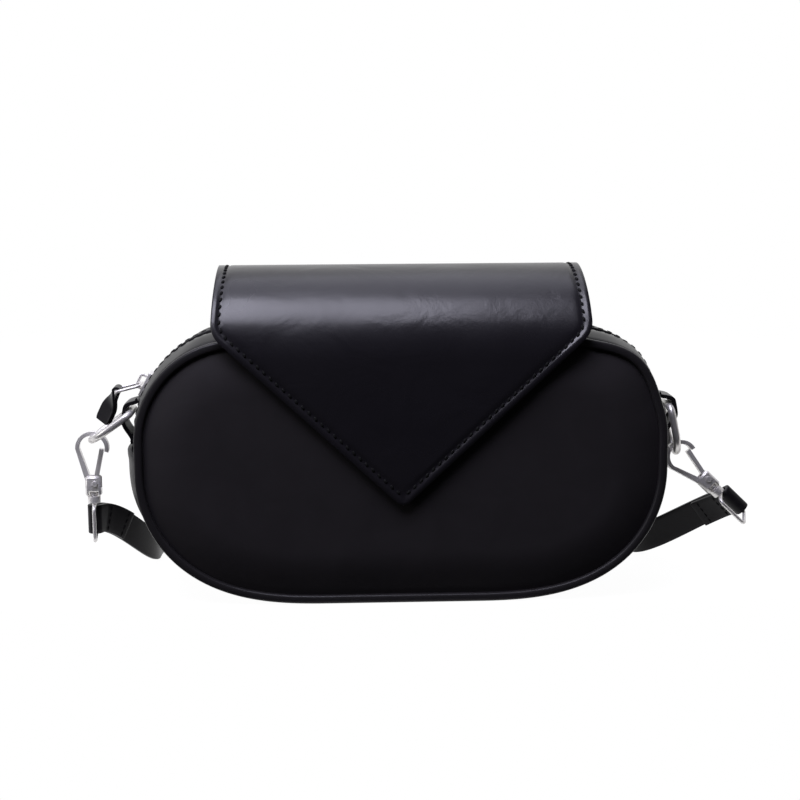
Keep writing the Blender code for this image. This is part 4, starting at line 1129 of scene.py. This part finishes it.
# Flap
# A stiff double flap: leather outside, suede inside, its edge painted and topstitched. It is
# sewn across the back, rolls over the top and comes down to a point.
FLAP_WIDTH = 0.148
FLAP_OUTER = 0.0016
FLAP_LINING = 0.0007
FLAP_BEND = BODY_HEIGHT - 0.0075
FLAP_SEAM = BODY_HEIGHT - 0.016
FLAP_CORNER = BODY_HEIGHT + 0.0026
FLAP_POINT = BODY_HEIGHT - 0.0662
FLAP_CORNER_RADIUS = 0.011
FLAP_TAPER_SHARE = 0.026
FLAP_TIP_RADIUS = 0.004
FLAP_LINING_MARGIN = 0.0012
FLAP_INSIDE = PANEL_BACK + PANEL_EDGE + PANEL_PUFF + GAP
FLAP_OUTER_INSIDE = FLAP_INSIDE + FLAP_LINING + GAP
FLAP_OUTSIDE = FLAP_OUTER_INSIDE + FLAP_OUTER
FLAP_STITCH_INSET = 0.0032
FLAP_STITCH_PITCH = 0.0033
FLAP_STITCH_LENGTH = 0.0022
FLAP_STITCH_WIDTH = 0.0012
FLAP_STITCH_SLANT = math.radians(22.0)
FLAP_SEAM_INSET = 0.003
FLAP_ROLL = 0.00035
FLAP_ROLL_WIDTH = 0.0026
FLAP_ROLL_FADE = 0.030
FLAP_CHANNEL = 0.00045
FLAP_CHANNEL_OUT = 0.0009
FLAP_CHANNEL_IN = 0.0024
FLAP_EDGE_COLUMNS = (0.0, 0.0007, 0.0014, 0.0021, 0.0028, 0.0035, 0.0042, 0.0050, 0.0060, 0.0072)
FLAP_COLUMNS = 40
FLAP_ROWS = 48
FLAP_SIDE_STEPS = 30
FLAP_CORNER_STEPS = 10
FLAP_TIP_STEPS = 16
FLAP_ROLL_STEPS = 60
FLAP_SEAM_STEPS = 30
FLAP_TIP_CROWDING = 70.0
FLAP_PAINTED_EDGE = 0.00045
FLAP_LINING_EDGE = 0.0002
FLAP_BLACK = (0.0088, 0.0080, 0.0108, 1.0)


def rounded_corner(before, corner, after, radius, steps):
    """The arc that rounds off the corner between two straight stretches."""
    corner = Vector(corner)
    back = (Vector(before) - corner).normalized()
    ahead = (Vector(after) - corner).normalized()
    half = back.angle(ahead) / 2
    centre = corner + (back + ahead).normalized() * (radius / math.sin(half))
    first = corner + back * (radius / math.tan(half)) - centre
    last = corner + ahead * (radius / math.tan(half)) - centre
    start = math.atan2(first.y, first.x)
    sweep = (math.atan2(last.y, last.x) - start + math.pi) % (2 * math.pi) - math.pi
    return arc(centre, radius, start, start + sweep, steps)


def flap_edge(margin):
    """The right half of the flap's front edge, from the bend to the tip, drawn in by a margin."""
    half = FLAP_WIDTH / 2 - margin
    slope = math.atan2(FLAP_WIDTH / 2, FLAP_CORNER - FLAP_POINT)
    point = FLAP_POINT + margin / math.sin(slope)
    corner = point + half / math.tan(slope)
    top = (half, FLAP_BEND + FLAP_OUTSIDE)
    tip = (0.0, point)
    side = rounded_corner(top, (half, corner), tip, FLAP_CORNER_RADIUS, FLAP_CORNER_STEPS)
    end = rounded_corner((half, corner), tip, (-half, corner), FLAP_TIP_RADIUS, FLAP_TIP_STEPS)
    run = [side[-1].lerp(end[0], share) for share in even(0, 1, FLAP_SIDE_STEPS)[1:-1]]
    return side + run + end[: FLAP_TIP_STEPS // 2]


def flap_point(x, drop, radius):
    """Wraps a point of the flat flap round the bag. Its sides draw in a little over the top."""
    if drop < FLAP_BEND:
        return Vector((x, -radius, drop))
    angle = math.pi - (drop - FLAP_BEND) / FLAP_OUTSIDE
    if angle < 0:
        return Vector((x, radius, FLAP_BEND + angle * FLAP_OUTSIDE))
    x *= 1 - FLAP_TAPER_SHARE * math.sin(angle) ** 2
    return Vector((x, radius * math.cos(angle), FLAP_BEND + radius * math.sin(angle)))


FLAP_OVER = FLAP_BEND + math.pi * FLAP_OUTSIDE


def flap_rows(margin):
    """Rows across the flat flap from its tip to its seam, as (half width, height)."""
    edge = list(reversed(flap_edge(margin)))
    end = FLAP_OVER + FLAP_BEND - FLAP_SEAM - margin
    rows = [(point.x, point.y) for point in edge]
    return rows + [(edge[-1].x, drop) for drop in even(edge[-1].y, end, FLAP_ROWS)[1:]]


def edge_distance(x, drop):
    """How far a point of the flat flap lies inside its outline."""
    here = Vector((abs(x), drop))
    nearest = FLAP_WIDTH / 2 - here.x if drop > FLAP_CORNER else FLAP_WIDTH
    for start, end in zip(flap_outline, flap_outline[1:], strict=False):
        run = end - start
        share = min(max((here - start).dot(run) / run.length_squared, 0.0), 1.0)
        nearest = min(nearest, (here - start - run * share).length)
    return nearest


def edge_relief(distance, drop):
    """The edge is rolled up a little in front, and the stitches pull a channel in beside it."""
    roll = FLAP_ROLL * math.sin(math.pi * min(distance / FLAP_ROLL_WIDTH, 1.0))
    roll *= ease(((FLAP_BEND + FLAP_OVER) / 2 - drop) / FLAP_ROLL_FADE)
    beyond = distance - FLAP_STITCH_INSET
    reach = FLAP_CHANNEL_IN if beyond > 0 else FLAP_CHANNEL_OUT
    return roll - FLAP_CHANNEL * ease(1 - abs(beyond) / reach)


flap_outline = flap_edge(0.0)
flap_columns = [(-1.0, inset) for inset in FLAP_EDGE_COLUMNS]
flap_columns += [(share, FLAP_EDGE_COLUMNS[-1]) for share in even(-1, 1, FLAP_COLUMNS)[1:-1]]
flap_columns += [(1.0, inset) for inset in reversed(FLAP_EDGE_COLUMNS)]


def flap_layer(name, radius, thickness, margin, edge, relief=False):
    """One layer of the flap. Its columns crowd beside the edge, and run together at the tip."""

    def place(column, row):
        share, inset = column
        half, drop = row
        x = share * (half - min(inset, half * inset * FLAP_TIP_CROWDING))
        raised = edge_relief(edge_distance(x, drop), drop) if relief else 0.0
        return flap_point(x, drop, radius + thickness + raised)

    layer = grid_piece(name, flap_columns, flap_rows(margin), place)
    use_modifier(layer, "SOLIDIFY", thickness=thickness, offset=-1.0)
    round_edges(layer, edge)
    smooth(layer, degrees=45)
    return layer


flap_leather = leather("flap_leather", FLAP_BLACK, 0.29, grain=0.0004, depth=0.12, crease=0.18)
suede = leather(
    "flap_suede", (0.020, 0.018, 0.020, 1.0), 0.85, depth=0.5, crease=0.2, specular=0.2
)
flap = flap_layer(
    "flap_leather_layer", FLAP_OUTER_INSIDE, FLAP_OUTER, 0.0, FLAP_PAINTED_EDGE, relief=True
)
dress(flap, flap_leather, "flap", "leather", "flap_outer")
flap_suede = flap_layer(
    "flap_suede_layer", FLAP_INSIDE, FLAP_LINING, FLAP_LINING_MARGIN, FLAP_LINING_EDGE
)
dress(flap_suede, suede, "flap", "suede", "flap_lining")


def flap_stitch_line():
    """The topstitching's line over the right half: over the roll, down the side and diagonal."""
    radius = FLAP_OUTSIDE - FLAP_CHANNEL / 2
    edge = flap_edge(FLAP_STITCH_INSET)
    flat = [(edge[0].x, drop) for drop in even(FLAP_OVER, edge[0].y, FLAP_ROLL_STEPS)[:-1]]
    flat += [(point.x, point.y) for point in edge]
    return [flap_point(x, drop, radius) for x, drop in flat]


def evenly_placed(line, pitch, up_of, slant=0.0):
    """Stitch places at an even pitch along a line of points, each turned by a slant."""
    travel = lengths_along(line)
    count = int(travel[-1] / pitch)
    places = []
    for number in range(count):
        point, index = point_along(line, travel, (number + 0.5) * travel[-1] / count)
        up = up_of(point).normalized()
        along = Matrix.Rotation(slant, 3, up) @ (line[index] - line[index - 1])
        places.append((point, along, up))
    return places


def flap_up(point):
    """The direction away from the bag, for a point of the flap."""
    if point.z > FLAP_BEND:
        return Vector((0, point.y, point.z - FLAP_BEND))
    return Vector((0, point.y, 0))


MIRRORED = Vector((-1, 1, 1))
right_places = evenly_placed(flap_stitch_line(), FLAP_STITCH_PITCH, flap_up, FLAP_STITCH_SLANT)
left_places = [
    (point * MIRRORED, along * MIRRORED, up) for point, along, up in right_places
]
flap_stitches = stitch_row(
    "flap_stitches", right_places + left_places, FLAP_STITCH_LENGTH, FLAP_STITCH_WIDTH
)
dress(flap_stitches, black_thread, "flap", "leather")

seam_half = FLAP_WIDTH / 2 - FLAP_STITCH_INSET
seam_line = [
    Vector((x, FLAP_OUTSIDE + STITCH_PROUD, FLAP_SEAM + FLAP_SEAM_INSET))
    for x in even(-seam_half, seam_half, FLAP_SEAM_STEPS)
]
back_seam = stitch_row(
    "flap_seam_stitches",
    evenly_placed(seam_line, STITCH_PITCH, lambda point: Vector((0, 1, 0))),
)
dress(back_seam, black_thread, "flap", "leather")


# Side tabs
# A leather strip is sewn to the gusset at both ends and bows out between them over the ring's
# straight bar. A row of stitches crosses each end.
TAB_WIDTH = 0.0125
TAB_THICKNESS = 0.0015
TAB_LENGTH = 0.0170
TAB_BOWS = {"left": 0.0040, "right": 0.0050}
TAB_RISE_SHARES = (0.03, 0.22)
TAB_FALL_SHARES = (0.46, 0.90)
TAB_STITCH_SHARES = (0.035, 0.955)
TAB_STITCH_INSET = 0.0024
TAB_STITCH_LENGTH = 0.0019
TAB_EDGE = 0.0003
TAB_CELLS = (48, 8)


def tab_height(share, bow):
    """How far a tab stands off the bag, by the share of its length."""
    rise = ease((share - TAB_RISE_SHARES[0]) / (TAB_RISE_SHARES[1] - TAB_RISE_SHARES[0]))
    fall = ease((share - TAB_FALL_SHARES[0]) / (TAB_FALL_SHARES[1] - TAB_FALL_SHARES[0]))
    return GAP + bow * (rise - fall)


def tab_places(side, bow):
    """One row of stitches across each end of a tab."""
    places = []
    reach = TAB_WIDTH / 2 - TAB_STITCH_INSET
    for share in TAB_STITCH_SHARES:
        distance = side * (TAB_START + share * TAB_LENGTH)
        for y in even(-reach, reach, 3):
            point = wrap(distance, y, tab_height(share, bow) + TAB_THICKNESS + STITCH_PROUD)
            places.append((point, Vector((0, 1, 0)), outward(distance)))
    return places


for name, pose in SIDES.items():
    side, bow = pose["side"], TAB_BOWS[name]

    def tab_place(distance, y, side=side, bow=bow):
        share = (distance - TAB_START) / TAB_LENGTH
        return wrap(side * distance, y, tab_height(share, bow))

    rows = even(-TAB_WIDTH / 2, TAB_WIDTH / 2, TAB_CELLS[1])
    if side < 0:
        rows.reverse()
    tab = leather_strip(
        f"tab_{name}_strip",
        even(TAB_START, TAB_START + TAB_LENGTH, TAB_CELLS[0]),
        rows,
        tab_place,
        TAB_THICKNESS,
        offset=1.0,
        edge=TAB_EDGE,
    )
    dress(tab, strap_leather, "bag", "leather", f"tab_{name}")
    sewn = stitch_row(f"tab_{name}_stitches", tab_places(side, bow), TAB_STITCH_LENGTH)
    dress(sewn, black_thread, "bag", "leather")


# Strap
# One long leather strip. Each end is folded round the far limb of its eye and sewn back on
# itself, and the rest lies on its edge in one curve behind the bag.
STRAP_THICKNESS = 0.0018
STRAP_RETURN = 0.020
STRAP_EDGE = 0.0004
STRAP_LOOP_WIDTH = 0.208
STRAP_LOOP_START = 0.046
STRAP_LOOP_DEPTH = 0.105
STRAP_TURN_SHARES = (0.10, 0.75)
STRAP_LEAD_SHARES = (0.90, 0.45)
STRAP_LEAD_STEPS = 42
STRAP_LOOP_STEPS = 60
STRAP_FOLD_STEPS = 18
STRAP_CELLS = 6
STRAP_STITCH_LENGTH = 0.0022
STRAP_STITCH_ROWS = (0.0075, STRAP_RETURN - 0.0025)
STRAP_STITCH_SHARES = (-0.36, -0.12, 0.12, 0.36)
BACKWARDS = Vector((0, 1, 0))
UPWARDS = Vector((0, 0, 1))


def eye_limb(name, pose):
    """The middle of an eye's far limb, which the strap is folded round, and the swivel's axis."""
    swivel = swivel_frame(name)
    limb = Matrix.Rotation(pose["eye"], 4, "Z") @ Vector((0, EYE_WIDTH / 2, 0))
    limb.z += EYE_TOP - EYE_WIRE - EYE_INSIDE / 2
    return swivel @ limb, swivel.to_3x3() @ UPWARDS


def strap_lead(up, side):
    """The direction in which the strap leaves an eye: back, and a little inwards."""
    back, inward = STRAP_LEAD_SHARES
    return (back * BACKWARDS + inward * -side * BACKWARDS.cross(up)).normalized()


def strap_half(limb, up, side):
    """Frames from an eye to the middle of the strap: point, across, along and through."""
    end = Vector((side * STRAP_LOOP_WIDTH / 2, STRAP_LOOP_START, STRAP_WIDTH / 2 + GAP))
    reach = (end - limb).length
    start_pull = strap_lead(up, side) * reach
    end_pull = BACKWARDS * reach
    low, high = STRAP_TURN_SHARES
    line = []
    for t in even(0, 1, STRAP_LEAD_STEPS):
        point = (
            limb * (2 * t**3 - 3 * t**2 + 1)
            + start_pull * (t**3 - 2 * t**2 + t)
            + end * (3 * t**2 - 2 * t**3)
            + end_pull * (t**3 - t**2)
        )
        line.append((point, up.lerp(UPWARDS, ease((t - low) / (high - low))).normalized()))
    past_middle = 4 * STRAP_EDGE / STRAP_LOOP_WIDTH
    for angle in even(0, math.pi / 2, STRAP_LOOP_STEPS)[1:] + [math.pi / 2 + past_middle]:
        x = side * STRAP_LOOP_WIDTH / 2 * math.cos(angle)
        y = STRAP_LOOP_START + STRAP_LOOP_DEPTH * math.sin(angle)
        line.append((Vector((x, y, STRAP_WIDTH / 2 + GAP)), UPWARDS))
    frames = []
    for index, (point, upward) in enumerate(line):
        before, after = line[max(index - 1, 0)][0], line[min(index + 1, len(line) - 1)][0]
        tangent = (after - before).normalized() if index else strap_lead(up, side)
        across = (upward - tangent * upward.dot(tangent)).normalized()
        frames.append((point, across, tangent, across.cross(tangent) * -side))
    return frames


def strap_path(frames):
    """The folded end, then the long run, as (point, across) pairs."""
    seat = EYE_WIRE + 2 * GAP + STRAP_THICKNESS / 2
    close = GAP / 2 + STRAP_THICKNESS / 2
    point, across, tangent, normal = frames[0]
    back, main = [], []
    travel = lengths_along([frame[0] for frame in frames])
    for (here, up, _, out), travelled in zip(frames, travel, strict=True):
        if travelled <= 2 * STRAP_THICKNESS:
            continue
        main.append((here + out * close, up))
        if travelled < STRAP_RETURN:
            back.append((here - out * close, up))
    back.reverse()
    turned = []
    for angle in even(-math.pi / 2, -3 * math.pi / 2, STRAP_FOLD_STEPS):
        offset = tangent * math.cos(angle) + normal * math.sin(angle)
        turned.append((point + offset * seat, across))
    return back + turned + main


def strap_stitches(frames):
    """Two short rows of stitches across the doubled end."""
    places = []
    outside = STRAP_THICKNESS + GAP / 2 + STITCH_PROUD
    travel = lengths_along([frame[0] for frame in frames])
    for mark in STRAP_STITCH_ROWS:
        here, up, _, out = frames[bisect.bisect_right(travel, mark) - 1]
        for share in STRAP_STITCH_SHARES:
            for face in (-1, 1):
                point = here + up * STRAP_WIDTH * share + out * face * outside
                places.append((point, up, out * face))
    return places


for name, pose in SIDES.items():
    side = pose["side"]
    limb, up = eye_limb(name, pose)
    frames = strap_half(limb, up, side)
    half_strap = leather_strip(
        f"strap_{name}_half",
        strap_path(frames),
        even(-STRAP_WIDTH / 2, STRAP_WIDTH / 2, STRAP_CELLS),
        lambda place, across: place[0] + place[1] * across,
        STRAP_THICKNESS,
        offset=0.0,
        edge=STRAP_EDGE,
    )
    tidy_mesh(half_strap)
    paint(half_strap, strap_leather)
    tuple(limb)
    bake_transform(half_strap)
    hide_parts("strap")
    sewn = stitch_row(f"strap_{name}_stitches", strap_stitches(frames), STRAP_STITCH_LENGTH)
    paint(sewn, black_thread)
    tuple(limb)
    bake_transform(sewn)
